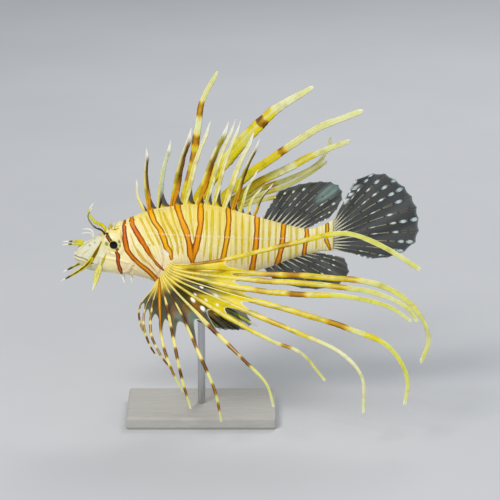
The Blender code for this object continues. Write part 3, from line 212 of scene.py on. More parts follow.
RIGHT_BANDS = (
    ((0.24, 0.30, 0.5), (0.38, 0.43, 0.7), (0.49, 0.53, 0.8), (0.58, 0.62, 0.8), (0.74, 0.80, 0.7)),
    ((0.26, 0.32, 0.4), (0.40, 0.45, 0.3), (0.65, 0.69, 0.3), (0.695, 0.73, 0.9), (0.74, 0.77, 0.3)),
    ((0.30, 0.36, 0.4), (0.50, 0.60, 0.35), (0.61, 0.625, 0.8)),
    ((0.34, 0.40, 0.5), (0.50, 0.55, 0.5), (0.73, 0.80, 0.3)),
    ((0.36, 0.42, 0.4), (0.58, 0.62, 0.5)),
    ((0.42, 0.47, 0.4), (0.64, 0.67, 0.4)),
    ((0.42, 0.50, 0.3), (0.70, 0.76, 0.3)),
)
LOWER_BAND_PERIOD = 11.0
# How far each left web reaches, as shares of the ray before it and the ray after it.
LEFT_WEBS = (
    (0.24, 0.30), (0.28, 0.32), (0.34, 0.38), (0.42, 0.38), (0.38, 0.42), (0.41, 0.46), (0.38, 0.54),
    (0.42, 0.58), (0.42, 0.58), (0.44, 0.56), (0.46, 0.54), (0.50, 0.54), (0.50, 0.54),
)
# White spots on the left fin's webs: back, up, length and width.
WEB_SPOTS = (
    (94.4, -39.4, 4.6, 2.6), (102.2, -46.2, 4.8, 3), (112.6, -36.2, 4, 2.4), (104.6, -39.6, 2.6, 1.6),
    (101, -29.6, 3.4, 1.4), (113.4, -43.4, 2.6, 2), (96, -35.4, 2.4, 1.6), (122, -41, 2.2, 1.4),
)
# Half width of the striped ray as painted on its webs, and the left rays that stay slim near the body.
RIBBON_HALF = 1.9
SLIM_RAYS = range(1, 9)
# Half widths of each ray: where its web ends, half way on from there, and at its end.
LEFT_WIDTHS = (
    (1.7, 2, 2), (2.2, 2.3, 1.7), (2.2, 2.2, 1.6), (2.3, 2.1, 1.4), (2.3, 2.1, 1.5), (2.2, 1.6, 1.2),
    (2, 1.4, 1), (1.9, 1.3, 1), (1.4, 1.3, 0.8), (1.3, 1.2, 0.8), (1.2, 1.1, 0.7), (1, 1, 0.6),
    (0.9, 0.9, 0.6), (0.9, 0.8, 0.6),
)
RIGHT_WIDTHS = (
    (3.4, 3, 1.6), (4.6, 5.2, 1.9), (3.6, 3.2, 2.4), (3.4, 3.3, 1.8), (2.8, 2.2, 1.2), (2.6, 2, 1.4),
    (2.2, 1.8, 1.2), (1.8, 1.5, 1), (1.7, 1.4, 1), (1.6, 1.3, 0.9), (1.6, 1.3, 0.9), (1.5, 1.2, 0.8),
    (1.5, 1.1, 0.8), (1.4, 1, 0.8),
)

# Head feelers: the line as seen, how far out its ends are, and full widths along it.
FLAPS = {
    "brow_tentacle": (
        ((23.6, 15), (21, 15.8), (16, 18), (12, 22.4), (10.4, 27), (14.4, 34.4)),
        (8, 7), (2.2, 2.3, 1.6, 0.9),
    ),
    "snout_barbel": (((4.6, 5.2), (1, 4.9), (-5, 4.6), (-11.2, 4)), (3.4, 5), (4.2, 2.4, 1.3, 0.9)),
    "nasal_cirrus": (((14.4, 9.8), (12.8, 12.8), (9.6, 13.8), (5, 13.2)), (4.2, 6.5), (1.2, 1.1, 1, 0.7)),
    "cheek_flap_front": (
        ((13.2, -6), (9.6, -11.2), (3.6, -16), (-3.2, -20.2), (-12, -25.2)),
        (9.4, 14), (2.4, 3.6, 2.2, 0.9),
    ),
    "cheek_flap_rear": (
        ((19.4, -13), (17.6, -18.4), (16.4, -24), (13.2, -33.2)), (10, 14), (1.8, 5.4, 3.2, 0.9),
    ),
    "chin_barbel_front": (((36.4, -17.4), (37, -21), (38.8, -26.4)), (5.5, 6.5), (1.8, 1.5, 0.9)),
    "chin_barbel_rear": (((43.6, -18.2), (44, -21.6), (45, -26.4)), (6, 7), (1.8, 1.5, 0.9)),
}
# The least width of a flap with a deep frill.
BROAD_FLAP = 2.2
# The brow tentacles' share of their width on the left and the right.
BROW_WIDTH = {-1: 0.72, 1: 1.12}
# Head spines: x, z, length, how many degrees each leans back, and radius.
HEAD_SPINES = (
    (24.5, 15.2, 3.2, 35, 1.1), (27.5, 18.6, 6, 10, 1.5), (33, 20.2, 4.2, 50, 1.3),
    (30.2, 19.6, 3, 30, 1), (41, 23, 3.6, 62, 1.2), (48, 26, 3.2, 65, 1.1), (44.5, -7.5, 3, 75, 1),
    (46, -12, 3.4, 80, 1.1), (43.5, -16.2, 3, 80, 1), (58, 9, 3.6, 82, 1.1),
    (14, 8.4, 1.6, 50, 0.6), (22, -3.6, 1.2, 65, 0.6), (28, -4.2, 1.4, 65, 0.6), (35.5, -4.6, 1.6, 65, 0.7),
)

# Wide bars in the side view: half width, warmth at each end (0 red-orange, 1 golden, 2 yellow), and the line.
BARS = (
    (1.9, (0, 0.75), ((39.2, 23.2), (39.2, 16), (40, 8), (41.6, 0), (45.6, -5.6), (51.2, -11.2),
        (57.6, -16), (63.2, -20.8), (67.2, -24.8), (68.8, -32))),
    (2.1, (0.2, 0.1), ((44.8, 26.4), (45.6, 20), (48.8, 14.4), (52.8, 8), (56.8, 1.6), (59.6, -3.6))),
    (1.1, (0.5, 1), ((58.6, -1.6), (60.4, -4.8), (65.6, -11.2), (70.4, -15.2))),
    (1.5, (0.15, 0.05), ((32.4, 0), (34.4, -4), (34, -9.6), (35.2, -14.4), (36.8, -18.4))),
    (2.35, (1, 1.1), ((58.4, 40), (60, 30.4), (63.2, 22.4), (68, 16), (71.2, 8), (72.8, 2.4),
        (76, -1.6), (76.8, -6.4))),
    (2.5, (0.95, 0.45), ((80.8, 44), (81.6, 33.6), (84.8, 24), (88.8, 14.4), (91.2, 4), (92, -4),
        (93.6, -9.6))),
    (2.5, (1, 0.5), ((99.2, 44), (100, 32), (100, 20), (98.4, 12), (96.8, 4), (94.4, -6.4))),
    (2.3, (1.2, 1.7), ((93.6, -9.6), (93.6, -16), (93.6, -24))),
    (2.25, (1.15, 1.1), ((121.6, 36), (122.4, 24), (120.8, 8), (118.4, -4), (116.8, -9.6),
        (118.4, -22.4))),
    (2.25, (0.9, 0.4), ((144.8, 28), (144.8, 16), (144, 4), (142.4, -6.4), (140, -20.8))),
    (2.2, (0.9, 0.5), ((166.4, 22.4), (165.6, 14.4), (164.8, 4), (162.4, -6.4), (159.2, -16))),
    (1.8, (0.8, 0.6), ((184, 18.8), (184.8, 12), (183.2, 4), (182, -6.4))),
    (1.6, (1.8, 1.8), ((200.8, 22.4), (200.8, 16), (200, 8), (203.2, 0.8))),
)
# Thin lines between them: half width, tone from gold (0) to brown (1), and the line.
THREADS = (
    (1, 0.2, ((51.2, 26.4), (56, 17.6), (59.2, 10.4), (64, 2.4))),
    (1.1, 0.4, ((69.6, 32), (73.6, 22.4), (79.2, 12.8), (81.6, 4), (82.4, -6))),
    (1.2, 0, ((109.6, 34), (108.8, 8), (107.2, -12))),
    (0.8, 0, ((104.6, 34), (104.8, 12), (102, -8))),
    (0.8, 0, ((115.2, 34), (115, 10), (112.4, -12))),
    (0.8, 0, ((128, 30.5), (128, -14.4))),
    (1, 0.1, ((133.2, 29), (132.8, -14.4))),
    (0.8, 0, ((139.2, 28.2), (137.6, -14.4))),
    (0.7, 0, ((150, 26.6), (148.8, -14.4))),
    (1, 0.3, ((155.2, 25), (153.6, -12.8))),
    (0.7, 0, ((160.4, 24.2), (158.8, -11.2))),
    (0.7, 0, ((172, 20.2), (171.2, -9.6))),
    (0.9, 0.1, ((176.8, 19.4), (176, -7.2))),
    (0.9, 0.1, ((192.8, 18.6), (192, 0))),
    (0.8, 0.1, ((90.4, 38), (92, 26), (94, 12), (94.6, 6))),
    (0.8, 0.1, ((66, 34), (70.5, 20), (76, 8), (79, -4))),
    (0.8, 0.1, ((75.5, 36), (79, 22), (84, 10), (86.5, -6))),
    (0.7, 0.1, ((56, 28), (60.5, 18), (65, 10), (68.5, 2))),
    (0.6, 0.3, ((44, 14), (47, 4), (51, -4), (57, -11))),
    (0.6, 0.6, ((49, 2), (54, -6), (61, -13), (66, -18))),
    (0.5, 0.1, ((47, 22), (50.5, 14), (55, 6), (61, -3), (66, -8))),
)
# Dark marks of the face: half width, tone from dark brown (0) to olive (1), and the line.
MARKS = (
    (1.2, 0, ((22.4, 15), (26.4, 12), (29.6, 7.2))),
    (1.35, 0.2, ((20.8, 6.4), (17.6, 0), (12, -9.6), (9, -13))),
    (1.1, 1, ((24.8, -2.4), (23.2, -6.4), (20, -14))),
    (0.35, 0.8, ((3.2, 0), (7.2, 4), (12.8, 8))),
    (0.35, 1, ((4.8, -4.8), (8, -1.6), (11.2, 0.8))),
    (0.50, 0.15, ((28, 18.4), (30.6, 18.8), (33, 18.2))),
    (0.45, 0.1, ((29.6, 16), (32.4, 16.6), (34.6, 17.2))),
    (0.40, 0.3, ((24, 17.4), (25.6, 19.2))),
    (0.45, 0.9, ((22, 9), (20, 12), (18, 13.4))),
    (0.40, 1, ((26, 1), (28, -2), (30.5, -4))),
    (0.45, 1, ((37.6, 6), (37, 12), (36, 16))),
)
# How far apart the faint stripes and the pale beads along the side line are.
FINE_PITCH, BEAD_PITCH = 2.7, 2.4
SIDE_LINE = ((58, 13.5), (80, 12.2), (110, 10.4), (150, 9.2), (203, 9.6))

# The studio, in metres: lamps as name, place from their target, size, power and colour.
FLOOR_HALF = 6
SKY, SKY_STRENGTH = (0.80, 0.86, 0.95), 0.34
LAMPS = (
    ("key", (-0.9, -1.5, 1.7), 0.8, 40, (1, 0.97, 0.93)),
    ("fill", (1.5, -1.3, 0.7), 1.4, 8, (0.93, 0.96, 1)),
    ("rim", (0.6, 1.5, 1.4), 0.9, 16, (1, 0.98, 0.95)),
)
CAMERA_DISTANCE, VIEW_WIDTH = 2.4, 0.4
# How far back from the snout the lamps and the camera look.
LAMP_TARGET, VIEW_MIDDLE = 120, 139.2


def rgb(red, green, blue):
    """A colour given as display values out of 255, in linear light."""
    share = np.array([red, green, blue]) / 255
    return np.where(share <= 0.04045, share / 12.92, ((share + 0.055) / 1.055) ** 2.4)


def ease(value, low, high):
    """0 below low, 1 above high, smooth between; low may be the larger."""
    t = np.clip((np.asarray(value, float) - low) / (high - low), 0, 1)
    return t * t * (3 - 2 * t)


def bell(value, width):
    """1 where the value is 0, falling off smoothly over the width."""
    return np.exp(-((value / width) ** 2))


def between(ends, share):
    """What lies at a share of the way from one end to the other."""
    return ends[0] + share * (ends[1] - ends[0])


def blend(one, other, share):
    share = np.asarray(share, float)[..., None]
    return np.asarray(one) * (1 - share) + np.asarray(other) * share


def coats(paint, *layers):
    """The paint under layers of colour, each given with its cover."""
    for colour, cover in layers:
        paint = blend(paint, colour, cover)
    return paint


def with_alpha(colour, alpha):
    return np.concatenate([colour, alpha[..., None]], -1)


def knots_at(knots, x):
    """A smooth curve through the knots, as its values at x."""
    table = np.asarray(knots, float)
    xs, ys = table[:, 0], table[:, 1]
    slopes = np.gradient(ys, xs)
    x = np.clip(np.asarray(x, float), xs[0], xs[-1])
    i = np.clip(np.searchsorted(xs, x, side="right") - 1, 0, len(xs) - 2)
    width = xs[i + 1] - xs[i]
    t = (x - xs[i]) / width
    start = (1 + 2 * t) * (1 - t) ** 2 * ys[i] + t * (1 - t) ** 2 * width * slopes[i]
    return start + t * t * (3 - 2 * t) * ys[i + 1] + t * t * (t - 1) * width * slopes[i + 1]


def section(x):
    """The body's middle height, half height and half width at x."""
    top, bottom, wide = (knots_at(SECTIONS[:, (0, column)], x) for column in (1, 2, 3))
    return (top + bottom) / 2, (top - bottom) / 2, wide


def body(x, angle):
    """The body's surface at x, turned from the back (0) down the fish's left side."""
    x, angle = np.broadcast_arrays(np.asarray(x, float), np.asarray(angle, float))
    middle, tall, wide = section(x)
    up, out = (np.sign(v) * np.abs(v) ** (2 / SQUARENESS) for v in (np.cos(angle), np.sin(angle)))
    return np.stack((x, -wide * (1 - BELLY_SHARE * up) * out, middle + tall * up), -1)


def flank(x, z):
    """How far out the flank is at x and height z."""
    middle, tall, wide = section(x)
    up = np.clip((z - middle) / tall, -1, 1)
    return wide * (1 - BELLY_SHARE * up) * (1 - np.abs(up) ** SQUARENESS) ** (1 / SQUARENESS)


def seated(point, gap):
    """The point moved straight in or out to the body's surface and a gap over it."""
    point = np.asarray(point, float)
    middle, tall, wide = section(point[..., 0])
    up, out = point[..., 2] - middle, point[..., 1]
    wide = wide * (1 - BELLY_SHARE * np.clip(up / tall, -1, 1))
    size = (np.abs(out / wide) ** SQUARENESS + np.abs(up / tall) ** SQUARENESS) ** (1 / SQUARENESS)
    reach = 1 / size + gap / np.hypot(up, out)
    return np.stack((point[..., 0], out * reach, middle + up * reach), -1)


def from_side(back, up, out):
    """The point that the picture shows at (back, up), lying out from the fish's middle."""
    return np.array([back, out, (up - out * SIN) / COS])


def seen_height(points):
    return points[..., 2] * COS + points[..., 1] * SIN


def unit(vectors):
    return vectors / np.maximum(np.linalg.norm(vectors, axis=-1, keepdims=True), 1e-9)


def away_from_body(root):
    return unit(seated(root, 1) - seated(root, 0))


def run(points):
    """How far along a line of points each one lies."""
    return np.concatenate([[0], np.cumsum(np.linalg.norm(np.diff(points, axis=0), axis=1))])


def path_length(path):
    return float(run(path)[-1])


def shares_of(path):
    return np.linspace(0, 1, len(path))


def heading(path):
    """The direction of a path at each of its points."""
    return unit(np.gradient(path, axis=0))


def spaced(dense, shares):
    """The points at these shares of a path's length."""
    length = run(dense)
    wanted = np.asarray(shares) * length[-1]
    return np.stack([np.interp(wanted, length, dense[:, a]) for a in range(3)], -1)


def smooth_path(points, count, crowding=1):
    """Points along a smooth curve through the given ones, evenly spaced or closer at the start."""
    points = np.asarray(points, float)
    steps = np.linalg.norm(np.diff(points, axis=0), axis=1) ** 0.5
    marks = np.concatenate([[0], np.cumsum(steps)])
    fine = np.linspace(0, marks[-1], 40 * (len(points) - 1) + 1)
    dense = np.stack([knots_at(np.column_stack((marks, points[:, a])), fine) for a in range(3)], -1)
    return spaced(dense, (np.arange(count) / (count - 1)) ** crowding)


def across_of(paths):
    """For paths of one count, the directions across each, towards its neighbours on the fin's surface."""
    count = len(paths[0])
    rows = np.arange(count)
    far = np.abs(rows[:, None] - rows[None, :]) > max(2, int(0.15 * count))
    kernel = np.ones(2 * SMOOTHING + 1) / (2 * SMOOTHING + 1)
    found = []
    for i, path in enumerate(paths):
        total = np.zeros((count, 3))
        for j, sign in ((i - 1, -1), (i + 1, 1)):
            if 0 <= j < len(paths):
                gaps = np.linalg.norm(path[:, None] - paths[j][None], axis=2)
                nearest = np.argmin(np.where(far, 1e9, gaps), axis=1)
                total += sign * (paths[j][nearest] - path)
        along = heading(path)
        total = unit(total - along * (total * along).sum(1, keepdims=True))
        padded = np.pad(total, ((SMOOTHING, SMOOTHING), (0, 0)), mode="edge")
        total = np.stack([np.convolve(padded[:, a], kernel, "valid") for a in range(3)], -1)
        found.append(unit(total - along * (total * along).sum(1, keepdims=True)))
    return found


def turned_out(path, across, share, towards):
    """The directions across a ray, turned beyond its web until its flat face looks the given way."""
    flat = unit(np.cross(heading(path), towards))
    start = int(share * len(path))
    flat = flat * (1 if (flat[start] @ across[start]) > 0 else -1)
    weight = ease(shares_of(path), share * 0.7, share * 0.7 + 0.25)
    return unit(blend(across, flat, weight))


def wave(values, seed):
    """A smooth wobble from -1 to 1."""
    rng = np.random.default_rng(seed)
    total = 0
    for octave in range(3):
        pace, start = rng.uniform(0.8, 1.2), rng.uniform(0, 6.3)
        total = total + np.sin(np.asarray(values) * 1.7**octave * pace + start) / (1 + octave)
    return total / 1.83


class Shape:
    """Points, faces and painted values of one piece, gathered part by part."""

    def __init__(self):
        self.points, self.faces, self.values, self.count = [], [], {}, 0

    def add(self, points, faces, values):
        points = np.asarray(points, float).reshape(-1, 3)
        self.points.append(points)
        self.faces += [tuple(int(v) + self.count for v in face) for face in faces]
        for key, value in values.items():
            self.values.setdefault(key, []).append(np.asarray(value, float).reshape(len(points), -1))
        self.count += len(points)

    def grid(self, points, closed=False, **values):
        """Quads over rows of points; a closed grid joins each row into a ring and caps the ends."""
        rows, columns = points.shape[:2]
        index = np.arange(rows * columns).reshape(rows, columns)
        ends = [index[0, ::-1].tolist(), index[-1].tolist()] if closed else []
        if closed:
            index = np.concatenate([index, index[:, :1]], axis=1)
        quads = np.stack((index[:-1, :-1], index[:-1, 1:], index[1:, 1:], index[1:, :-1]), -1)
        self.add(points, quads.reshape(-1, 4).tolist() + ends, values)

    def ribbon(self, points, colour):
        """A closed grid painted in solid colours."""
        self.grid(points, closed=True, paint=with_alpha(colour, np.ones(colour.shape[:-1])))

    def object(self, name, material, slot, nodes=()):
        mesh = bpy.data.meshes.new(name)
        points = np.concatenate(self.points) * MM + ORIGIN
        mesh.from_pydata(points.tolist(), [], self.faces)
        for key, parts in self.values.items():
            table = np.concatenate(parts).astype(np.float32)
            kind, field = ("FLOAT_COLOR", "color") if table.shape[1] == 4 else ("FLOAT", "value")
            mesh.attributes.new(key, kind, "POINT").data.foreach_set(field, table.ravel())
        mesh.shade_smooth()
        mesh.materials.append(material)
        obj = bpy.data.objects.new(name, mesh)
        bpy.context.scene.collection.objects.link(obj)
        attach(obj, "root")
        if nodes:
            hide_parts(*nodes)
        return obj


def both_faces(upper):
    """A closed ring from its upper half, which runs from edge to edge."""
    return [*upper, *((t, -h) for t, h in upper[-2:0:-1])]


RIBBON = both_faces((
    (-1, 0), (-0.78, 0.55), (-0.45, 0.62), (-0.2, 0.85), (0, 1),
    (0.2, 0.85), (0.45, 0.62), (0.78, 0.55), (1, 0),
))
SPINE_RING = both_faces((
    (-1, 0), (-0.75, 0.75), (-0.2, 1), (0.08, 0.8), (0.22, 0.3), (0.5, 0.24), (0.8, 0.22), (1, 0),
))
ROUND = [(math.cos(a), math.sin(a)) for a in np.linspace(0, 2 * math.pi, 9)[:-1]]


def sweep(path, across, lead, trail, high, ring=RIBBON):
    """A closed form along a path. Returns its points, and how far along and across each lies."""
    t, h = np.transpose(ring)
    lead, trail, high = (np.broadcast_to(v, len(path))[:, None] for v in (lead, trail, high))
    wide = np.where(t < 0, lead, trail) * t
    normal = np.cross(heading(path), across)
    points = path[:, None] + across[:, None] * wide[..., None] + normal[:, None] * (high * h)[..., None]
    return points, *np.broadcast_arrays(shares_of(path)[:, None], t)


def tube(shape, path, radius, paint):
    """A round thread along a path, painted one colour or one colour a row."""
    across = unit(np.cross(heading(path), TUBE_ASIDE))
    points, share, _ = sweep(path, across, radius, radius, radius, ROUND)
    paint = paint[:, None] if paint.ndim == 2 else paint
    shape.ribbon(points, np.broadcast_to(paint, (*share.shape, 3)))


def sheet(shape, one, other, shares, rows, columns, notch, painter, sag=0.0):
    """A membrane between two paths, whose margin is cut back between them by the notch."""
    u, v = np.meshgrid(np.linspace(0, 1, rows), np.linspace(0, 1, columns), indexing="ij")
    place = u * ((shares[0] * (1 - v) + shares[1] * v) * (1 - notch * 4 * v * (1 - v)))
    near, far = (spaced(path, place.ravel()).reshape(rows, columns, 3) for path in (one, other))
    points = blend(near, far, v)
    normal = unit(np.cross(*np.gradient(points, axis=(0, 1))))
    swell = sag * np.sin(math.pi * v) * np.sin(math.pi * 0.5 * u)
    shape.grid(points + normal * swell[..., None], paint=painter(u, v, place, near, far))


class Look:
    """A node material under construction. Values may be numbers, colours or the outputs of nodes."""

    def __init__(self, name, roughness, **sockets):
        self.material = bpy.data.materials.new(name)
        self.material.use_nodes = True
        self.tree = self.material.node_tree
        self.shader = self.tree.nodes["Principled BSDF"]
        self.wire(self.shader, {"Roughness": roughness, **sockets})
        self.place = self.new("TexCoord", {}).outputs["Object"]

    def wire(self, node, sockets):
        for key, source in sockets.items():
            target = node.inputs[key.replace("_", " ") if isinstance(key, str) else key]
            if hasattr(source, "links"):
                self.tree.links.new(source, target)
            else:
                target.default_value = (*source, 1) if target.type == "RGBA" else source

    def new(self, kind, sockets, **settings):
        node = self.tree.nodes.new("ShaderNode" + kind)
        for name, value in settings.items():
            setattr(node, name, value)
        self.wire(node, sockets)
        return node

    def attribute(self, name, output="Fac"):
        return self.new("Attribute", {}, attribute_name=name).outputs[output]

    def noise(self, scale, detail=3, rough=0.55, stretch=(1, 1, 1)):
        place = self.new("Mapping", {"Vector": self.place, "Scale": stretch}).outputs["Vector"]
        sockets = {"Vector": place, "Scale": scale, "Detail": detail, "Roughness": rough}
        return self.new("TexNoise", sockets).outputs["Fac"]

    def cells(self, scale):
        return self.new("TexVoronoi", {"Vector": self.place, "Scale": scale}).outputs["Distance"]

    def math(self, operation, one, other):
        return self.new("Math", {0: one, 1: other}, operation=operation).outputs[0]

    def times(self, one, other):
        return self.math("MULTIPLY", one, other)

    def ease(self, value, low, high, start=0, end=1):
        sockets = {"Value": value, "From Min": low, "From Max": high, "To Min": start, "To Max": end}
        return self.new("MapRange", sockets, interpolation_type="SMOOTHSTEP").outputs["Result"]

    def mix(self, share, one, other, kind="MIX"):
        return self.new("Mix", {0: share, 6: one, 7: other}, data_type="RGBA", blend_type=kind).outputs[2]

    def coats(self, colour, *layers):
        """The colour under layers, each given as its colour and its cover."""
        for over, cover in layers:
            colour = self.mix(cover, colour, over)
        return colour

    def rich(self, colour, saturation):
        return self.new("HueSaturation", {"Saturation": saturation, "Color": colour}).outputs["Color"]

    def bump(self, height, strength, distance, **after):
        sockets = {"Strength": strength, "Distance": distance, "Height": height, **after}
        return self.new("Bump", sockets).outputs["Normal"]

    def finish(self, colour, normal=None, roughness=None, **more):
        """The finished material. Its roughness is given as what ease takes."""
        if normal:
            more["Normal"] = normal
        if roughness:
            more["Roughness"] = self.ease(*roughness)
        self.wire(self.shader, {"Base Color": colour, **more})
        return self.material


def thread_colour(look, thread):
    """The thin lines, whose heart is lighter than their rim."""
    tone = look.attribute("thread_tone")
    rim = look.mix(tone, rgb(192, 166, 18), rgb(184, 116, 10))
    heart = look.mix(tone, rgb(222, 200, 46), rgb(224, 160, 30))
    return look.mix(look.ease(thread, 0.15, 0.6), rim, heart)


def bar_colour(look, bar, blot):
    """The wide bars: a brown rim and a heart that runs from red-orange through golden to yellow."""
    warm = look.attribute("warmth")
    rim = look.mix(warm, rgb(112, 32, 2), rgb(148, 82, 0))
    heart = look.mix(warm, rgb(222, 84, 4), rgb(255, 188, 6))
    heart = look.mix(look.math("SUBTRACT", warm, 1), heart, rgb(222, 206, 24))
    bars = look.mix(look.ease(bar, 0.5, 1.7), rim, heart)
    return look.mix(look.ease(blot, 0.4, 0.7, 0, 0.3), bars, rgb(244, 176, 30))


def skin_material():
    """A mottled cream ground under thin lines, wide bars, the face's dark marks and shaded creases."""
    look = Look("lionfish_skin", 0.46, Specular_IOR_Level=0.22)
    grain, blot, wash = look.noise(420, 4, 0.6), look.noise(95, 3, 0.5), look.noise(34, 3, 0.5)
    edge = look.times(look.math("SUBTRACT", look.noise(700, 2), 0.5), 0.35)
    bar, thread, mark = (look.math("ADD", look.attribute(name), edge) for name in ("bar", "thread", "mark"))
    fine = look.math("ADD", look.attribute("fine"), look.times(edge, 1.2))
    faint = look.ease(look.noise(160, 2), 0.35, 0.6, 0.72, 0.96)
    ground = look.coats(
        look.mix(look.attribute("pale"), rgb(255, 243, 176), rgb(218, 218, 194)),
        (rgb(240, 216, 84), look.times(look.attribute("yellow"), 0.6)),
        (rgb(246, 220, 194), look.times(look.attribute("pink"), 0.5)),
        (rgb(232, 206, 128), look.times(look.ease(blot, 0.45, 0.75), 0.2)),
        (rgb(255, 252, 238), look.ease(grain, 0.3, 0.75, 0, 0.2)),
        (rgb(240, 214, 96), look.ease(wash, 0.5, 0.72, 0, 0.3)),
        (rgb(246, 226, 214), look.ease(wash, 0.48, 0.3, 0, 0.25)),
        (rgb(218, 198, 60), look.times(look.ease(fine, 0.1, 0.8), 0.45)),
        (thread_colour(look, thread), look.times(look.ease(thread, -0.3, 0.45), faint)),
    )
    tone = look.attribute("mark_tone")
    halo = look.times(look.ease(mark, -1, -0.3), look.ease(tone, 0.5, 0.2))
    colour = look.coats(
        ground,
        (bar_colour(look, bar, blot), look.ease(bar, -0.25, 0.1)),
        (rgb(226, 208, 96), look.times(halo, 0.75)),
        (look.mix(tone, rgb(66, 32, 8), rgb(196, 176, 60)), look.ease(mark, -0.15, 0.35)),
        (rgb(120, 66, 34), look.times(look.attribute("shade"), 0.85)),
        (rgb(248, 246, 236), look.times(look.attribute("white"), 0.9)),
    )
    pores = look.bump(look.ease(look.cells(950), 0, 0.6), 0.22, 0.0004)
    normal = look.bump(grain, 0.25, 0.0005, Normal=pores)
    return look.finish(look.rich(colour, 1.06), normal, (grain, 0.3, 0.8, 0.42, 0.64))


def paint_material(name, roughness, streak, strength, alpha=False, coat=0.0):
    """A material that takes its colour from the paint on the mesh, broken up by fine grain."""
    look = Look(name, roughness, Specular_IOR_Level=0.25, Coat_Weight=coat, Coat_Roughness=0.2)
    grain, blot = look.noise(streak, 4, 0.6), look.noise(streak * 0.22, 2, 0.5)
    colour = look.attribute("paint", "Color")
    colour = look.mix(look.ease(grain, 0.35, 0.75, 0, 0.28), colour, rgb(255, 252, 214), "SOFT_LIGHT")
    colour = look.mix(look.ease(blot, 0.45, 0.8, 0, 0.3), colour, rgb(120, 92, 30), "MULTIPLY")
    more = {"Alpha": look.attribute("paint", "Alpha")} if alpha else {}
    rough = (grain, 0.3, 0.8, roughness - 0.08, roughness + 0.1)
    return look.finish(look.rich(colour, 1.12), look.bump(grain, strength, 0.0004), rough, **more)


def line_distance(spot, line):
    """The distance from each spot to a line of points, and how far along the line the nearest place is."""
    line = np.asarray(line, float)
    before = run(line)
    best, place = np.full(len(spot), 1e9), np.zeros(len(spot))
    for k, (a, b) in enumerate(zip(line, line[1:])):
        length = before[k + 1] - before[k]
        t = np.clip(((spot - a) @ (b - a)) / length**2, 0, 1)
        gap = np.linalg.norm(spot - a - t[:, None] * (b - a), axis=1)
        place = np.where(gap < best, (before[k] + t * length) / before[-1], place)
        best = np.minimum(gap, best)
    return best, place


def deepest(spot, lines, wobble, pitch, taper):
    """How deep each spot lies inside the nearest of some tapered, wobbling lines, and that line's tone."""
    depth, tone = np.full(len(spot), -9.0), np.zeros(len(spot))
    for half, tones, line in lines:
        gap, place = line_distance(spot, line)
        inside = half * taper(place) * (1 + wobble * wave(place * pitch, int(line[0][0]))) - gap
        tone = np.where(inside > depth, between(np.broadcast_to(tones, 2), place), tone)
        depth = np.maximum(depth, inside)
    return depth, tone


def bar_taper(place):
    return 0.65 + 0.35 * ease(place, 0, 0.10) * ease(place, 1, 0.85)


def thread_taper(place):
    return ease(place, 1.02, 0.85) * ease(place, -0.05, 0.14)


def mark_taper(place):
    return (0.55 + 0.45 * ease(place, 1, 0.6)) * (0.4 + 0.6 * ease(place, 0, 0.45))


def markings(points):
    """The fish's pattern at points of its skin, as the near side shows it and the same on both sides."""
    points = points.reshape(-1, 3)
    back, up = points[:, 0], points[:, 2] * COS - np.abs(points[:, 1]) * SIN
    spot = np.column_stack((back, up))
    bar, warmth = deepest(spot, BARS, 0.14, 14, bar_taper)
    thread, thread_tone = deepest(spot, THREADS, 0.22, 9, thread_taper)
    mark, mark_tone = deepest(spot, MARKS, 0.15, 11, mark_taper)
    slant = back + 0.42 * (up - 10) * ease(back, 96, 60) + 0.5 * wave(up * 0.12, 3)
    stripe = np.cos(slant * 2 * math.pi / FINE_PITCH) * (0.75 + 0.25 * wave(back * 0.21, 5))
    brow = ease(np.hypot((back - 30) / 10, (up - 11) / 10), 1.25, 0.6)
    ridge = ease(up, 2, 24) * ease(back, 20, 50) * ease(back, 165, 110)
    dash = line_distance(spot, SIDE_LINE)[0]
    beads = ease(np.cos(back * 2 * math.pi / BEAD_PITCH), -0.2, 0.6) * ease(dash, 0.7, 0.25)
    flap_back, flap_up = back - 72.4, up + 2.2
    flap = ease(np.hypot(flap_back / 2.8, (flap_up + 0.5 * flap_back) / 1.9), 1.15, 0.8)
    return {
        "bar": np.clip(bar, -2, 4), "warmth": warmth,
        "thread": np.clip(thread, -2, 2), "thread_tone": thread_tone,
        "mark": np.clip(mark, -2, 2), "mark_tone": mark_tone,
        "fine": stripe * ease(back, 43, 56) * ease(bar, -0.2, -1),
        "pale": np.maximum(ease(back, 30, 16), 0.35 * ease(back, 118, 175)),
        "yellow": np.maximum(ridge, brow),
        "white": np.maximum(0.8 * beads, flap),
        "pink": ease(up, 4, -14) * ease(back, 24, 44) * (0.5 + 0.5 * ease(back, 130, 60)),
    }


def gill_edge(angle):
    turn = math.pi - np.abs(math.pi - angle)
    return GILL_TOP + GILL_REACH * bell(turn - GILL_ANGLE, GILL_SPREAD)


def flank_distance(points, line):
    """line_distance for a grid of points and a line of the flank, given as (x, z)."""
    gap, place = line_distance(points.reshape(-1, 3)[:, (0, 2)], line)
    return gap.reshape(points.shape[:-1]), place.reshape(points.shape[:-1])


def ridge(points, line, wide):
    """1 along a line of the flank, falling off over a width."""
    gap, place = flank_distance(points, line)
    return bell(gap, wide) * ease(place, 0, 0.08) * ease(place, 1, 0.92)


def mouth_relief(points, x, z):
    """The lips over a groove, and the jaw bone behind them."""
    at_mouth = ease(x, 15.6, 13.6)
    off = z - np.interp(x, *np.transpose(MOUTH_LINE))
    groove = bell(off, 0.42)
    lips = 0.7 * bell(off - 1.35, 0.8) + 0.8 * bell(off + 1.4, 0.85)
    gap, place = flank_distance(points, JAW_BONE)
    over = gap - (0.7 + 2 * place)
    rise = (lips - 0.95 * groove) * at_mouth + 0.55 * ease(over, 0.35, -0.35) * ease(place, 0, 0.15)
    return rise, 0.5 * groove * at_mouth + 0.35 * bell(over - 0.3, 0.3) * ease(place, 0.3, 0.6)


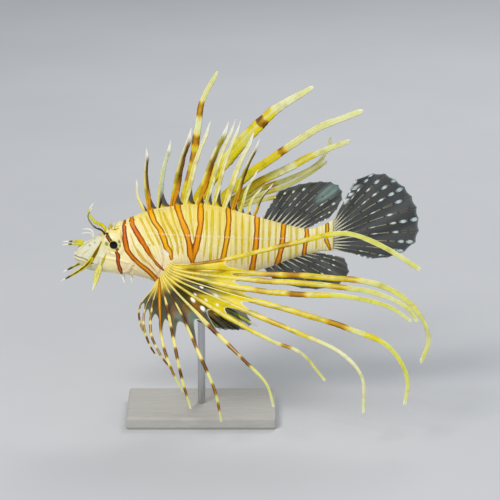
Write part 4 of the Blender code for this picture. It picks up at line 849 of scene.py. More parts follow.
def eye_relief(x, y, z):
    """A raised ring with a deep socket, and a dip between the eyes."""
    up = z - EYE_CENTRE[2]
    r, above = np.hypot(x - EYE_CENTRE[0], up), 0.9 * ease(up, 1, 6)
    dip = bell(y, 2.6) * ease(x, 17, 26) * ease(x, 43, 33) * (up > 0)
    return (1.4 + above) * ease(r, 11, 7) - (5.4 + above) * ease(r, 6.2, 4.8) - 1.5 * dip


def nostril_relief(x, z):
    rise, shade = 0, 0
    for hole_x, hole_z, size in NOSTRILS:
        hole = np.hypot(x - hole_x, z - hole_z)
        rise = rise + 0.45 * bell(hole - size, 0.35) - 1.1 * bell(hole, 0.62 * size)
        shade = shade + 0.9 * bell(hole, 0.6 * size)
    return rise, shade


def gill_relief(x, z, angle):
    """The gill cover's raised edge over a crease, and folds under the throat."""
    edge = gill_edge(angle)
    reach, before = (edge - GILL_TOP) / GILL_REACH, edge - x
    cover = 0.75 * ease(before, -0.35, 0.35) * ease(before, 13, 1) - 0.5 * bell(before + 0.75, 0.5)
    folds = np.cos((z + 0.35 * x) * 2 * math.pi / FOLD_PITCH)
    throat = ease(z, -14.5, -17.5) * ease(x, 24, 32) * ease(x, 62, 54)
    return reach * cover + 0.22 * folds * throat, 0.55 * reach * bell(before + 0.5, 0.38)


def relief(points, angle):
    """How far the skin rises at each point of the plain body, and how shaded its creases are."""
    x, y, z = points[..., 0], np.abs(points[..., 1]), points[..., 2]
    parts = (mouth_relief(points, x, z), nostril_relief(x, z), gill_relief(x, z, angle))
    rise, shade = (sum(values) for values in zip(*parts))
    rise = rise + eye_relief(x, y, z) + sum(high * ridge(points, line, wide) for high, wide, line in RIDGES)
    shade = shade + 0.25 * ridge(points, CHEEK_GROOVE, 0.5)
    rise = rise + 1.5 * bell(flank_distance(points, LEFT_ROOTS)[0], 4.6)
    keel = 0.7 * (z > 12) * ease(x, 52, 60) * ease(x, 190, 180)
    keel = keel + 0.5 * (z < 0) * ease(x, 147, 152) * ease(x, 195, 188)
    return rise + keel * bell(y, 1.6), np.clip(shade, 0, 1)


def closing(ring, turns, reach):
    """Rings that draw the given one in to a small rounded end, which stands out by the reach."""
    middle = ring.mean(0)
    rings = []
    for turn in turns:
        inner = middle + (ring - middle) * max(math.cos(turn), CLOSING_LEAST)
        inner[:, 0] = middle[0] + reach * math.sin(turn)
        rings.append(inner)
    return rings


def skin_grid():
    """The body's plain surface as rows of rings, closed at the snout and the tail."""
    angle = np.linspace(0, 2 * math.pi, AROUND, endpoint=False)
    head = np.linspace(0, HEAD_END, HEAD_ROWS, endpoint=False)
    rows = [body(x, angle) for x in (*head, *np.linspace(HEAD_END, STANDARD_LENGTH, BODY_ROWS))]
    from_tip = np.linspace(0.04, math.pi / 2, SNOUT_ROWS, endpoint=False)
    nose = closing(rows[0], math.pi / 2 - from_tip, -SNOUT_REACH)
    tail = closing(rows[-1], np.linspace(0, math.pi / 2, TAIL_ROWS + 1)[1:], TAIL_REACH)
    return np.array(nose + rows + tail), angle


def outward(points):
    """The directions straight out of a closed grid."""
    wrapped = np.concatenate([points[:, -1:], points, points[:, :1]], axis=1)
    over = (wrapped[:, 2:] - wrapped[:, :-2]) / 2
    normal = unit(np.cross(over, np.gradient(points, axis=0)))
    centre = points.mean(axis=1, keepdims=True)
    flip = np.sign(((points - centre) * normal).sum(-1, keepdims=True).mean(axis=1, keepdims=True))
    return normal * np.where(flip == 0, 1, flip)


def unwrap(points, angle):
    """A place on the unwrap of the skin, for the baked markings."""
    back, round_ = (points[..., 0] + 2) / (STANDARD_LENGTH + 4), angle / (2 * math.pi)
    return 0.02 + 0.96 * np.stack((back, round_), -1)


def add_uv(mesh, table):
    layer = mesh.uv_layers.new(name="OFBake")
    corners = np.empty(len(mesh.loops), np.int32)
    mesh.loops.foreach_get("vertex_index", corners)
    layer.data.foreach_set("uv", table[corners].astype(np.float32).ravel())


def build_skin(material):
    plain, angle = skin_grid()
    turns = np.broadcast_to(angle, plain.shape[:2])
    rise, shade = relief(plain, turns)
    rise[:3] *= 0.3  # the tip of the snout stays smooth
    shape = Shape()
    shape.grid(plain + outward(plain) * rise[..., None], closed=True, shade=shade, **markings(plain))
    obj = shape.object("fish_skin", material, "skin", ("head", "lower_jaw", "torso", "tail_stem"))
    add_uv(obj.data, unwrap(plain, turns).reshape(-1, 2))


def scale_places():
    """Where each scale sits: its distance back, its turn round the body and its size."""
    places = []
    x, row = SCALES_START, 0
    while x < STANDARD_LENGTH - 1:
        size = SCALE_SIZE * float(section(x)[1] / SCALE_TALL) ** SCALE_POWER
        turns = (np.arange(SCALES_AROUND) + 0.5 * (row % 2)) * 2 * math.pi / SCALES_AROUND
        places += [(x, turn, size) for turn in turns[x > gill_edge(turns) + 0.6]]
        x, row = x + size, row + 1
    return np.transpose(places)


def build_scales(material):
    """Rows of small overlapping scales from the gill cover to the tail."""
    roots, angles, sizes = scale_places()
    jitter = RNG.uniform(-SCALE_JITTER, SCALE_JITTER, (2, len(roots)))
    step = 2 * math.pi / SCALES_AROUND
    turn = (angles + jitter[0] * step)[:, None] + SCALE[:, 1] * step * SCALE_OVERLAP[1]
    back = (roots + jitter[1] * sizes)[:, None] + SCALE[:, 0] * sizes[:, None] * SCALE_OVERLAP[0]
    back = np.clip(back, 50, STANDARD_LENGTH - 0.2)
    plain = body(back, turn)
    normal = unit(np.cross(body(back, turn + 0.02) - plain, body(back + 0.05, turn) - plain))
    centre = np.stack((back, 0 * back, section(back)[0]), -1)
    normal = normal * np.sign(((plain - centre) * normal).sum(-1, keepdims=True))
    rise, shade = relief(plain, np.mod(turn, 2 * math.pi))
    high = rise + SCALE[:, 2] * SCALE_RAISE * (sizes[:, None] / SCALE_SIZE)
    starts = np.arange(len(roots)) * len(SCALE)
    faces = [tuple(v + int(start) for v in face) for start in starts for face in SCALE_FACES]
    shape = Shape()
    shape.add(plain + normal * high[..., None], faces, {"shade": shade, **markings(plain)})
    obj = shape.object("fish_scales", material, "skin")
    patch = unwrap(body(roots, angles), angles)[:, None] + SCALE[:, :2] * 0.003
    add_uv(obj.data, patch.reshape(-1, 2))


def eye_material():
    gloss = {"Coat_Weight": 0.7, "Coat_Roughness": 0.04, "Coat_IOR": 1.35}
    look = Look("lionfish_eye", 0.25, Specular_IOR_Level=0.1, **gloss)
    grain = look.noise(900)
    tint = look.ease(grain, 0.4, 0.75, 0, 0.2)
    colour = look.mix(tint, look.attribute("paint", "Color"), rgb(200, 180, 90), "MULTIPLY")
    return look.finish(colour, look.bump(grain, 0.08, 0.0003))


def eye_paint(across, up, r, streak):
    """A round pupil in a pale iris with dark green patches, and a brown bar across it."""
    paint = coats(
        rgb(250, 240, 168),
        (rgb(240, 224, 104), 0.7 * streak * ease(r, 3, 6)),
        (rgb(252, 242, 188), 0.9 * ease(r, 4.2, 5.6)),
    )
    for patch_across, patch_up, wide, tint in EYE_PATCHES:
        gap = np.hypot(across - patch_across, (up - patch_up) * 0.85)
        paint = blend(paint, rgb(*tint), 0.9 * ease(gap, wide, wide * 0.4) * (0.75 + 0.25 * streak))
    bar = np.abs(across * 0.78 + up * 0.6)
    return coats(
        paint,
        (rgb(78, 40, 14), np.where(up > 0, ease(bar, 1.9, 1.2), ease(bar, 1.5, 1))),
        (rgb(196, 118, 36), 0.8 * ease(bar, 0.6, 0.15) * ease(r, 3.4, 4.4)),
        (rgb(226, 206, 92), 0.7 * ease(np.abs(r - 3.6), 0.32, 0.1)),
        (rgb(4, 6, 5), ease(r, 3.3, 3.1)),
    )


def build_eyes(material):
    """Two domes, a little flatter than half balls, with a bulge over the pupil."""
    polar = np.linspace(0.02, EYE_ROLL, EYE_ROWS)[:, None]
    round_ = np.linspace(0, 2 * math.pi, EYE_AROUND, endpoint=False)[None]
    across, up = (EYE_RADIUS * np.sin(polar) * turn for turn in (np.cos(round_), np.sin(round_)))
    r = np.hypot(across, up)
    bulge = 0.45 * ease(r, 4.2, 0.5) - 0.1 * bell(r - 3.2, 0.5)
    out = EYE_CENTRE[1] + EYE_DEPTH * np.cos(polar) + bulge
    streak = wave(round_ * 9 + 0 * r, 11) * 0.5 + 0.5
    for side, word in SIDES:
        shape = Shape()
        points = np.stack((EYE_CENTRE[0] + across, side * out, EYE_CENTRE[2] + up), -1)
        shape.ribbon(points, eye_paint(across, up, r, streak))
        shape.object(f"fish_eye_{word}", material, "eye", (f"eye_{word}",))


CREAM, LEMON, GOLD = rgb(246, 238, 176), rgb(238, 220, 48), rgb(232, 184, 14)
LIME, OLIVE, BROWN = rgb(220, 222, 92), rgb(150, 138, 24), rgb(112, 60, 10)
DARK, WHITE, AMBER = rgb(48, 26, 8), rgb(248, 249, 236), rgb(222, 124, 8)
MIST, UMBER = rgb(196, 208, 190), rgb(134, 92, 14)


def pectoral_paths(table, bows, ends, side):
    """The points of each ray: out of the flank, then along its seen line, bowed away from the body."""
    paths = []
    for seen, share in zip(table, shares_of(table)):
        x, z = between(np.array(ends), share)
        out, bow = float(flank(x, z)), float(knots_at(bows, share))
        root = np.array([x, side * out, z])
        away = away_from_body(root)
        towards = unit(from_side(*seen[0], side * (out + bow / 2)) - root)
        start = root + unit(away + towards) * PECTORAL_ROOT_OUT
        lengths = run([(start[0], seen_height(start)), *seen])
        path = [root - away * 1.2, root, start]
        for point, turn in zip(seen, BOW_TURN * lengths[1:] / lengths[-1]):
            path.append(from_side(*point, side * (abs(start[1]) + bow * math.sin(turn))))
        paths.append(path)
    return paths


def seen_shares(path):
    """How far along the path each point is as the picture shows it, from 0 to 1, and its seen length."""
    length = run(np.column_stack((path[:, 0], seen_height(path))))
    return length / length[-1], length[-1]


def lower_bands(i, seen_length):
    """Even bands along a short lower ray."""
    places = (np.arange(2, 40) + 0.3 * i % 1) * LOWER_BAND_PERIOD * (1 - 0.04 * (i - 8)) / seen_length
    half = 0.22 * LOWER_BAND_PERIOD / seen_length
    return [(p - half, p + half, 0.6 + 0.4 * math.sin(7 * p * i)) for p in places if p < 0.93]


def band_cover(share, t, bands):
    """How far each place is inside a band, and how dark that band is."""
    cover, dark = np.zeros(share.shape), np.zeros(share.shape)
    slant = share - 0.008 * np.abs(t)
    for start, end, tone in bands:
        here = ease(slant, start - 0.028, start + 0.014) * ease(slant, end + 0.028, end - 0.014)
        dark = np.where(here > cover, tone, dark)
        cover = np.maximum(cover, here)
    return cover, dark


def striped_colour(s):
    """The striped ray's heart, from gold at its root to brown."""
    return blend(rgb(252, 178, 14), rgb(150, 84, 8), ease(s, 22, 44))


def ray_ground(s, t, view, right, i, pale):
    """A pale stem between yellow flags, and a paler end with a white rim. The right fin's rays after the
    fourth also get painted light.
    """
    streak = wave(s * 0.09 + 2.5 * t, 20 + i) * 0.5 + 0.5
    flag, far = ease(np.abs(t), 0.16, 0.34), ease(view, 0.50, 0.72)
    if right:
        light = 0.6 * ease(wave(s * 0.11 + 0.5 * t, 90 + i), 0.3, 0.9)
        near = coats(
            rgb(220, 216, 92), (rgb(220, 206, 22), flag * (0.5 + 0.5 * streak)), (rgb(240, 232, 160), light),
        )
    else:
        near = coats(CREAM, (LEMON, flag * (0.45 + 0.5 * streak)), (GOLD, 0.35 * flag * (1 - streak)))
    mottle = ease(wave(s * 0.16 + 0.8 * t, 33 + i), 0.15 - 0.05 * right, 0.9)
    near = blend(near, rgb(134, 132, 18), 0.55 * mottle * (0.4 + 0.6 * flag))
    distal = coats(LIME, (WHITE, pale), (rgb(198, 194, 60), (0.7 - 0.3 * pale) * flag * streak))
    return coats(
        near,
        (distal, far * 0.95),
        # Painted light: the right fin's rays after the fourth are lightened where the lamps leave them in
        # shade.
        (rgb(255, 255, 172), 0.5 * (right and i > 3)),
        (rgb(243, 244, 208), 0.8 * ease(np.abs(t), 0.62, 0.95) * far),
        (rgb(242, 244, 208), 0.5 * far * ease(wave(s * 0.07, 41 + i), 0, 0.8)),
        (blend(OLIVE, UMBER, streak), 0.6 * ease(t, 0.45, 0.9) * (1 - far)),
    )


def ray_paint(share, t, view, length, bands, right, i, pale):
    """The paint of one long ray: its ground, brown bands over it, a golden root and a white tip."""
    s, low = view * length, i >= PECTORAL_SPLIT
    ripple = wave(s * 0.5 + 1.5 * t, 60 + i) * 0.5 + 0.5
    flag, far = ease(np.abs(t), 0.16, 0.34), ease(view, 0.50, 0.72)
    cover, dark = band_cover(view, t, bands)
    whole = 0.3 + 0.7 * ease(dark, 0.5, 0.85)
    gold = blend(rgb(228, 206, 36), rgb(232, 168, 12), ease(dark, 0.3, 0.75))
    tint = rgb(158, 100, 44) if low and i != STRIPED_RAY else gold
    rough = 0.35 + 0.65 * np.maximum(ripple * dark, dark**3 * flag)
    deep = ease(cover, 0.35, 1) * ease(dark, 0.3, 0.9) * rough
    brown = blend(BROWN if low else UMBER, DARK, ease(dark, 0.5, 1) * (0.5 + 0.5 * flag))
    edge = ease(cover, 0.2, 0.9) * ease(dark, 0.3, 0.6) * ease(np.abs(t), 0.5, 0.8) * 0.9
    paint = coats(
        ray_ground(s, t, view, right, i, pale),
        (tint, 0.9 * ease(cover, 0, 0.6) * (whole + (1 - whole) * flag)),
        (brown, np.maximum(deep, edge)),
        (CREAM, 0.5 * low * (1 - far) * ease(cover, 0.4, 0)),
        (rgb(248, 232, 140), 0.7 * ease(s, 20, 4)),
        (rgb(180, 112, 14), 0.7 * ease(t, 0.3, 0.8) * ease(s, 34, 12)),
    )
    if i == STRIPED_RAY:
        stripe = blend(striped_colour(s), rgb(122, 62, 6), ease(np.abs(t), 0.5, 0.85))
        paint = blend(paint, stripe, ease(s, 50, 38))
    return coats(
        paint,
        (BROWN, 0.35 * bell(np.abs(t) - 0.26, 0.09) * (1 - 0.6 * far)),
        (WHITE, 0.9 * ease(share, 0.975, 0.99) * ease(np.abs(t) + share, 1.2, 1.5)),
    )


def build_ray(rays, i, path, across, side, web_end, widths, bands):
    """One long ray: a ribbon on its web, turned beyond it to look at the camera."""
    length, s = path_length(path), shares_of(path)
    view, seen_length = seen_shares(path)
    edge, middle, end = widths
    full = knots_at(((web_end, edge), ((1 + web_end) / 2, middle), (1, end)), s)
    least, spread = (0.52, (22, 70)) if side < 0 and i in SLIM_RAYS else (0.30, (4, 40))
    grow = least + (1 - least) * ease(s * length, *spread)
    fade = np.sqrt(np.clip((1 - s) * length / (1.6 * end), 0.02, 1))
    flutter = 1 + 0.09 * wave(s * length * 0.2, 31 + i) + 0.05 * wave(s * length * 1.1, 57 + i)
    lead = full * grow * fade * (0.88 + 0.12 * wave(s * length * 0.17, 70 + i))
    high = (0.42 + 0.75 * np.exp(-s * length / 9)) * (1 - 0.45 * s) * np.sqrt(fade)
    over = turned_out(path, across, web_end, TOWARDS_CAMERA)
    points, share, t = sweep(path, over, lead, full * grow * fade * flutter * 1.12, high)
    own = bands[i] if i < len(bands) else lower_bands(i, seen_length)
    pale = LOWER_PALE if i >= PECTORAL_SPLIT else LEFT_PALE[i] if side < 0 else RIGHT_PALE
    seen = np.broadcast_to(view[:, None], t.shape)
    rays.ribbon(points, ray_paint(share, t, seen, seen_length, own, side > 0, i, pale))


def web_dots(spot):
    """The white spots of the left fin's webs, each turned away from the fan's middle."""
    back, up = spot[..., 0], seen_height(spot)
    dots = np.zeros(back.shape)
    for x, h, long, wide in WEB_SPOTS:
        lean = math.atan2(h - FAN_MIDDLE[1], x - FAN_MIDDLE[0])
        along = (back - x) * math.cos(lean) + (up - h) * math.sin(lean)
        over = (up - h) * math.cos(lean) - (back - x) * math.sin(lean)
        dots = np.maximum(dots, ease(np.hypot(along / long, over / wide), 0.62, 0.42))
    return dots


def bright_web(i, side, u, v, s, beat):
    """A golden web of the upper rays, with smoky streaks, clearer, darker middles and painted shade beside
    its rays.
    """
    smoke = wave(s * 0.11 + 1.7 * i + 0.8 * v, 55) + 0.5 * np.sin(math.pi * v)
    smoke = ease(smoke, 0.35, 1.1) * ease(u, 0.35, 0.55) * ease(u, 0.98, 0.82)
    # Painted shade: the web is darkened next to each ray, as shade along the rays.
    shade_beside_rays = ease(np.abs(v - 0.5), 0.24, 0.44) * ease(u, 0.08, 0.25) * ease(u, 0.85, 0.6)
    hollow = ease(u, 0.16, 0.26) * ease(u + 0.08 * beat, 0.72, 0.58) * (i >= 3)
    paint = coats(
        rgb(236, 214, 62),
        (OLIVE, 0.65 * ease(beat, 0.35, 0.8)),
        (rgb(238, 216, 10), 0.85 * ease(u, 0.5, 0.8) * (1 if 2 <= i <= 5 else 0.35)),
        # Painted shade: the web darkens towards the next ray, as shade between the rays.
        (rgb(110, 96, 20), 0.6 * ease(v, 0.7, 1) * ease(u, 0.98, 0.7)),
        (rgb(122, 102, 12), 0.6 * shade_beside_rays),
        (rgb(92, 84, 10), 0.65 * smoke * (i > 1)),
        (rgb(24, 24, 12), 0.96 * hollow),
        (rgb(150, 88, 20), 0.8 * hollow * ease(u, 0.5, 0.66) * (i == 5)),
    )
    alpha = 0.93 - 0.15 * ease(np.abs(v - 0.5), 0.3, 0)
    clear = 0.62 * ease(u, 0.10, 0.24) * ease(u, 0.78, 0.56) * (side < 0 and 1 <= i <= 2)
    return paint, alpha * (1 - clear)


def dark_web(i, u, v, s, beat):
    """A dark web of the lower rays, with a blue-grey sheen and brown blotches near its edge."""
    cool = ease(u, 0.70, 0.86) * ease(wave(s * 0.12 + 1.9 * i + v, 77), -0.7, 0.2)
    blotch = ease(u, 0.60, 0.70) * ease(u, 0.90, 0.78) * ease(np.abs(v - 0.5), 0.5, 0.2)
    paint = coats(
        rgb(20, 20, 12),
        (OLIVE, 0.18 * beat),
        (rgb(108, 126, 116), (0.75 if i in (7, 8) else 0.3) * cool),
        (rgb(150, 104, 36), WEB_BROWN.get(i, 0) * blotch),
    )
    return paint, np.full(u.shape, 0.94)


def side_fin_web(i, side, length):
    """The painter of the web after one long ray."""

    def painter(u, v, place, near, far):
        s = place * length
        beat = wave(s * 0.16 + 2.3 * i, i + 90) * 0.5 + 0.5
        bright = i < PECTORAL_SPLIT - 1
        paint, alpha = bright_web(i, side, u, v, s, beat) if bright else dark_web(i, u, v, s, beat)
        dots = web_dots(blend(near, far, v)) * (side < 0)
        root, edge = ease(s, 26, 8), ease(u, 0.96, 1)
        off = np.abs(i + v - STRIPED_RAY) * np.linalg.norm(far - near, axis=-1)
        stripe = ease(off, RIBBON_HALF + 0.3, RIBBON_HALF) * ease(s, 48, 36)
        core = ease(off, RIBBON_HALF - 0.4, RIBBON_HALF - 1.1)
        paint = coats(
            paint,
            (WHITE, dots),
            (rgb(244, 220, 104), 0.85 * root),
            (rgb(176, 108, 14), 0.75 * root * ease(np.cos(v * 2 * math.pi), 0.2, 0.9)),
            (blend(rgb(122, 56, 4), striped_colour(s), core), stripe),
            (WHITE, 0.6 * edge),
        )
        return with_alpha(paint, np.maximum.reduce([alpha, dots, root, stripe, 0.9 * edge]))

    return painter


def build_pectoral(word, side, table, bows, ends, bands, widths, looks):
    """One side fin, as an upper and a lower pair of rays and webs."""
    paths = [smooth_path(points, PECTORAL_POINTS) for points in pectoral_paths(table, bows, ends, side)]
    across = across_of(paths)
    reach = knots_at(PECTORAL_WEB, shares_of(paths))
    for part, first, last in (("upper", 0, PECTORAL_SPLIT), ("lower", PECTORAL_SPLIT, len(paths))):
        rays, webs = Shape(), Shape()
        for i in range(first, last):
            build_ray(rays, i, paths[i], across[i], side, reach[i], widths[i], bands)
        for i in range(first, min(last, len(paths) - 1)):
            shares = LEFT_WEBS[i] if side < 0 else reach[i:i + 2]
            painter = side_fin_web(i, side, path_length(paths[i]))
            sheet(webs, paths[i], paths[i + 1], shares, 64, 15, 0.20, painter, 0.6 * side)
        add_fin(f"pectoral_fin_{word}_{part}", rays, webs, looks)


def add_fin(node, rays, webs, looks):
    ray_material, web_material, slot = looks
    rays.object(f"{node}_rays", ray_material, slot, (node,))
    webs.object(f"{node}_web", web_material, slot, (node,))


def spine_paint(kind, share, t, length, i):
    """One back spine: a stem in front and a flag behind it, both white near the tip."""
    beat = np.cos(share * length * 2 * math.pi / SPINE_PITCH + 1.7 * i)
    stem = blend(rgb(242, 240, 206), rgb(234, 220, 80), 0.85 * ease(share, 0.85, 0.25))
    rim = np.clip(ease(t, 0.72, 0.95) + ease(t, 0.42, 0.30) * (t > 0.16), 0, 1)
    base = coats(AMBER, (GOLD, 0.3), (BROWN, 0.85 * rim))
    if kind == "brown":
        brown = blend(rgb(132, 92, 16), DARK, 0.4 + 0.3 * ease(beat, 0, 0.8))
        flag = blend(base, brown, ease(share, 0.22, 0.42))
        green = 0.55 * ease(share, 0.7, 0.5) * ease(beat, -0.2, 0.6) + 0.15
        stem = coats(stem, (OLIVE, green), (base, 0.8 * ease(share, 0.3, 0.1)))
    elif kind == "olive":
        flag = blend(base, blend(BROWN, OLIVE, ease(share, 0.45, 0.75)), ease(share, 0.25, 0.5))
        stem = blend(stem, OLIVE, 0.6 * ease(beat, -0.4, 0.5))
    elif kind == "green":
        flag = coats(DARK, (MIST, ease(share, 0.12, 0.42)), (LIME, 0.25 * ease(share, 0.3, 0.6)))
        stem = blend(stem, MIST, 0.3)
    else:
        flag = coats(CREAM, (OLIVE, 0.6 * ease(beat, 0, 0.9) * ease(share, 0.75, 0.3)), (WHITE, 0.15))
    return coats(flag, (stem, ease(t, 0.32, 0.16)), (WHITE, 0.9 * ease(share, 0.78, 0.92)))


def build_spine(spines, i, path, wide, kind):
    """A spine with a flag of skin behind it, which swells a little near its end."""
    length, s, along = path_length(path), shares_of(path), heading(path)
    across = unit(BACKWARDS - along * (along @ BACKWARDS)[:, None])
    lobe = 1 + 0.12 * bell(s - 0.84, 0.07) - 0.10 * bell(s - 0.70, 0.08)
    flag = wide * (0.45 + 0.55 * ease(s, 0, 0.3)) * lobe * (1 - 0.5 * s) * np.clip((1 - s) * 7, 0, 1) ** 0.8
    flag = flag * (1 + 0.05 * wave(s * length * 0.5, 40 + i)) + 0.12
    stem = np.clip(1.06 - s, 0, 1) ** 0.6 * (1 - 0.5 * s) + 0.14
    points, share, t = sweep(path, across, stem, flag, np.maximum(0.75 * stem, 0.16), SPINE_RING)
    spines.ribbon(points, spine_paint(kind, share, t, length, i))


def build_spine_web(webs, i, one, other):
    """The dark web behind one spine, which runs low to the next, with a pale thread along its edge."""
    rows, columns, start = 40, 22, 0.03
    u, v = np.meshgrid(np.linspace(0, 1, rows), np.linspace(0, 1, columns), indexing="ij")
    curve = (0.44 if i < 9 else 0.30) * (1 - v) ** 1.9
    near = spaced(one, (start + u * (curve + 0.07 * v - start)).ravel())
    far = spaced(other, (start + u * ((curve + 0.07) * 0.8 - start)).ravel())
    points = blend(near.reshape(rows, columns, 3), far.reshape(rows, columns, 3), v * 0.93 + 0.04)
    base, rim = ease(u, 0.35, 0.05), ease(u, 0.93, 1)
    paint = coats(
        rgb(26, 26, 12),
        (BROWN, 0.3 * (wave(v * 7 + i, 60 + i) * 0.5 + 0.5)),
        (blend(LEMON, AMBER, 0.2), base),
        (rgb(178, 200, 205), rim),
    )
    webs.grid(points, paint=with_alpha(paint, np.maximum(0.88 + 0.1 * base, 0.9 * rim)))
    tube(webs, points[-1], 0.16, rgb(196, 214, 214))


def build_spiny_dorsal(looks):
    """Stiff spines with flags of skin, and low webs between them."""
    spines, webs, paths = Shape(), Shape(), []
    for i, (root_x, tip_back, tip_up, wide, kind) in enumerate(DORSAL_SPINES):
        root, tip = body(root_x, 0), from_side(tip_back, tip_up, 0)
        bow = unit(np.array([root[2] - tip[2], 0, tip[0] - root[0]])) * 2.5
        paths.append(smooth_path((root + unit(root - tip) * 2, root, (root + tip) / 2 + bow, tip), 120))
        build_spine(spines, i, paths[-1], wide, kind)
    for i, (one, other) in enumerate(zip(paths, paths[1:])):
        build_spine_web(webs, i, one, other)
    ray_material, web_material, slot = looks
    spines.object("dorsal_spines", ray_material, slot, ("dorsal_fin_spiny",))
    webs.object("dorsal_spine_web", web_material, slot, ("dorsal_fin_spiny",))


def clear_web(i, last, flecks, cloud, white_edge):
    """The painter of a smoky web, with pale flecks by its rays and a dark dot before each."""

    def painter(u, v, s, *_):
        k = i + v
        mist = cloud(k / last, s)
        smoke = 0.5 + 0.5 * wave(s * 9 + k, 8)
        paint = coats(rgb(26, 32, 33), (rgb(12, 14, 13), smoke), (rgb(128, 162, 160), mist))
        alpha = 0.91 + 0.04 * wave(k * 1.7 + s * 5, 9) + 0.04 * ease(s, 0.35, 0.05)
        alpha = np.maximum(alpha, 0.85 * mist)
        ray_gap, nearest = np.minimum(v, 1 - v), np.round(k).astype(int)
        for row, strong, shift in flecks:
            at, size = row + shift[nearest], 0.5 + 0.6 * row
            gap = np.hypot((s - at) / (0.036 * size), ray_gap / (0.10 * size))
            fleck = strong[nearest] * ease(gap, 1.3, 0.7)
            dot = ease(np.hypot((s - at + 0.06) / 0.012, ray_gap / 0.09), 1.2, 0.8)
            paint = coats(paint, (rgb(198, 228, 236), fleck), (rgb(6, 8, 6), dot))
            alpha = np.maximum.reduce([alpha, fleck, 0.9 * dot])
        if white_edge:
            streak = ease(k, 0.9, 0.3) * ease(s, 0.35, 0.5) * ease(s, 0.86, 0.74)
            streak = streak * ease(wave(s * 46 + 3 * k, 12), -0.35, 0.15)
            paint, alpha = blend(paint, rgb(226, 238, 240), streak), np.maximum(alpha, streak)
        return with_alpha(blend(paint, rgb(96, 108, 108), 0.7 * ease(u, 0.965, 1)), alpha)

    return painter


def build_soft_fin(node, paths, fleck_rows, cloud, looks, white_edge=False):
    """A clear fin: slim forked rays with pale flecks and dark dots, and a smoky scalloped membrane."""
    rays, webs = Shape(), Shape()
    strong = RNG.uniform(0, 1, (len(fleck_rows), len(paths))) < 0.62
    shift = RNG.uniform(-0.03, 0.03, (len(fleck_rows), len(paths)))
    flecks = list(zip(fleck_rows, strong, shift))
    for i, path in enumerate(paths):
        s = shares_of(path)
        fork = 1.15 * (path_length(path) / 60) * ease(s, 0.42, 1) * s
        out = unit(np.cross(heading(path), SIDEWAYS)) * fork[:, None]
        radius = 0.34 * (1 - 0.72 * s) + 0.05 + 0.4 * ease(s, 0.30, 0.05)
        paint = coats(
            rgb(246, 244, 224),
            (rgb(150, 146, 124), ease(s, 0.14, 0.34)),
            (rgb(74, 76, 66), 0.6 * ease(s, 0.5, 0.85)),
        )
        for row, strength, moved in flecks:
            off = s - row - moved[i]
            paint = coats(
                paint,
                (WHITE, strength[i] * ease(np.abs(off), 0.028, 0.016)),
                (rgb(10, 12, 10), ease(np.abs(off + 0.06), 0.016, 0.008)),
            )
        for sign in (-1, 1):
            tube(rays, *(values[:RAY_SHOWN] for values in (path + sign * out, radius, paint)))
    for i, (one, other) in enumerate(zip(paths, paths[1:])):
        painter = clear_web(i, len(paths) - 1, flecks, cloud, white_edge)
        sheet(webs, one, other, (CLEAR_WEB_END, CLEAR_WEB_END), 90, 11, 0.015, painter)
    add_fin(node, rays, webs, looks)


def fan_path(root, tip, into=1.5):
    """A ray from inside the body to its tip, lifted a little on its way."""
    lift = np.array([0, 0, 0.02 * np.linalg.norm(tip - root)])
    return smooth_path((root - unit(tip - root) * into, root, (root + tip) / 2 + lift, tip), RAY_POINTS)


def median_paths(roots_x, angle, count, angles, lengths):
    """Rays that stand on the body's middle line, given by the first and last of them."""
    paths = []
    for share in np.linspace(0, 1, count):
        root = body(between(roots_x, share), angle)
        turn = math.radians(between(angles, share))
        reach = np.array([math.cos(turn), 0, math.sin(turn)]) * float(knots_at(lengths, share))
        paths.append(fan_path(root, root + reach))
    return paths


def caudal_paths():
    """The tail fin's rays, which fan out from a point before its root."""
    top, bottom = body(STANDARD_LENGTH, np.array([0, math.pi]))[:, 2]
    inset = 1.6
    paths = []
    for share in np.linspace(0, 1, CAUDAL_RAYS):
        turn = math.radians(between(CAUDAL_ANGLES, share))
        radius = float(knots_at(CAUDAL_REACH, share))
        root = np.array([STANDARD_LENGTH + 0.3, 0, between((top - inset, bottom + inset), share)])
        back, up = CAUDAL_MIDDLE + radius * np.array([math.cos(turn), math.sin(turn)])
        tip = from_side(back, up, CAUDAL_SWAY * math.sin(math.pi * share))
        paths.append(fan_path(root, tip, into=2))
    return paths


def pelvic_paths(side, reach_out, size):
    """A belly fin's rays, which leave the body and swing out to the side."""
    paths = []
    for share in np.linspace(0, 1, PELVIC_RAYS):
        x = between(PELVIC_ROOTS, share)
        middle, tall, _ = section(x)
        root = seated(np.array([x, side * PELVIC_OUT, middle - tall]), 0)
        turn = math.radians(between(PELVIC_ANGLES, share))
        length = size * float(knots_at(PELVIC_REACH, share))
        away = away_from_body(root)
        ends = [root - away, root, root + away * 2.2 + BACKWARDS * 2.2]
        for part in (0.3, 0.65, 1):
            back, up = x + length * part * math.cos(turn), seen_height(root) + length * part * math.sin(turn)
            ends.append(from_side(back, up, root[1] + side * reach_out * math.sin(1.4 * part)))
        paths.append(smooth_path(ends, RAY_POINTS))
    return paths


def pelvic_web(i):
    """The painter of a dark web with a brown patch and rows of white spots."""

    def painter(u, v, s, *_):
        k = i + v
        patch = ease(np.hypot((s - 0.56) / 0.20, (k - 1.8) / 1.9), 1.1, 0.4)
        spots = np.cos(s * 2 * math.pi / SPOT_PITCH + 1.9 * i) * np.sin(math.pi * v)
        white = ease(spots, 0.76, 0.88) * ease(s, 0.16, 0.22) * ease(s, 0.56, 0.46)
        paint = coats(
            rgb(22, 22, 13),
            (OLIVE, 0.22 * (wave(s * 11 + k, 14) + 1) / 2),
            (rgb(160, 116, 42), 0.8 * patch),
            (WHITE, white),
            (rgb(90, 92, 60), 0.6 * ease(u, 0.97, 1)),
        )
        return with_alpha(paint, np.maximum(0.84 - 0.08 * np.sin(math.pi * v), white))

    return painter


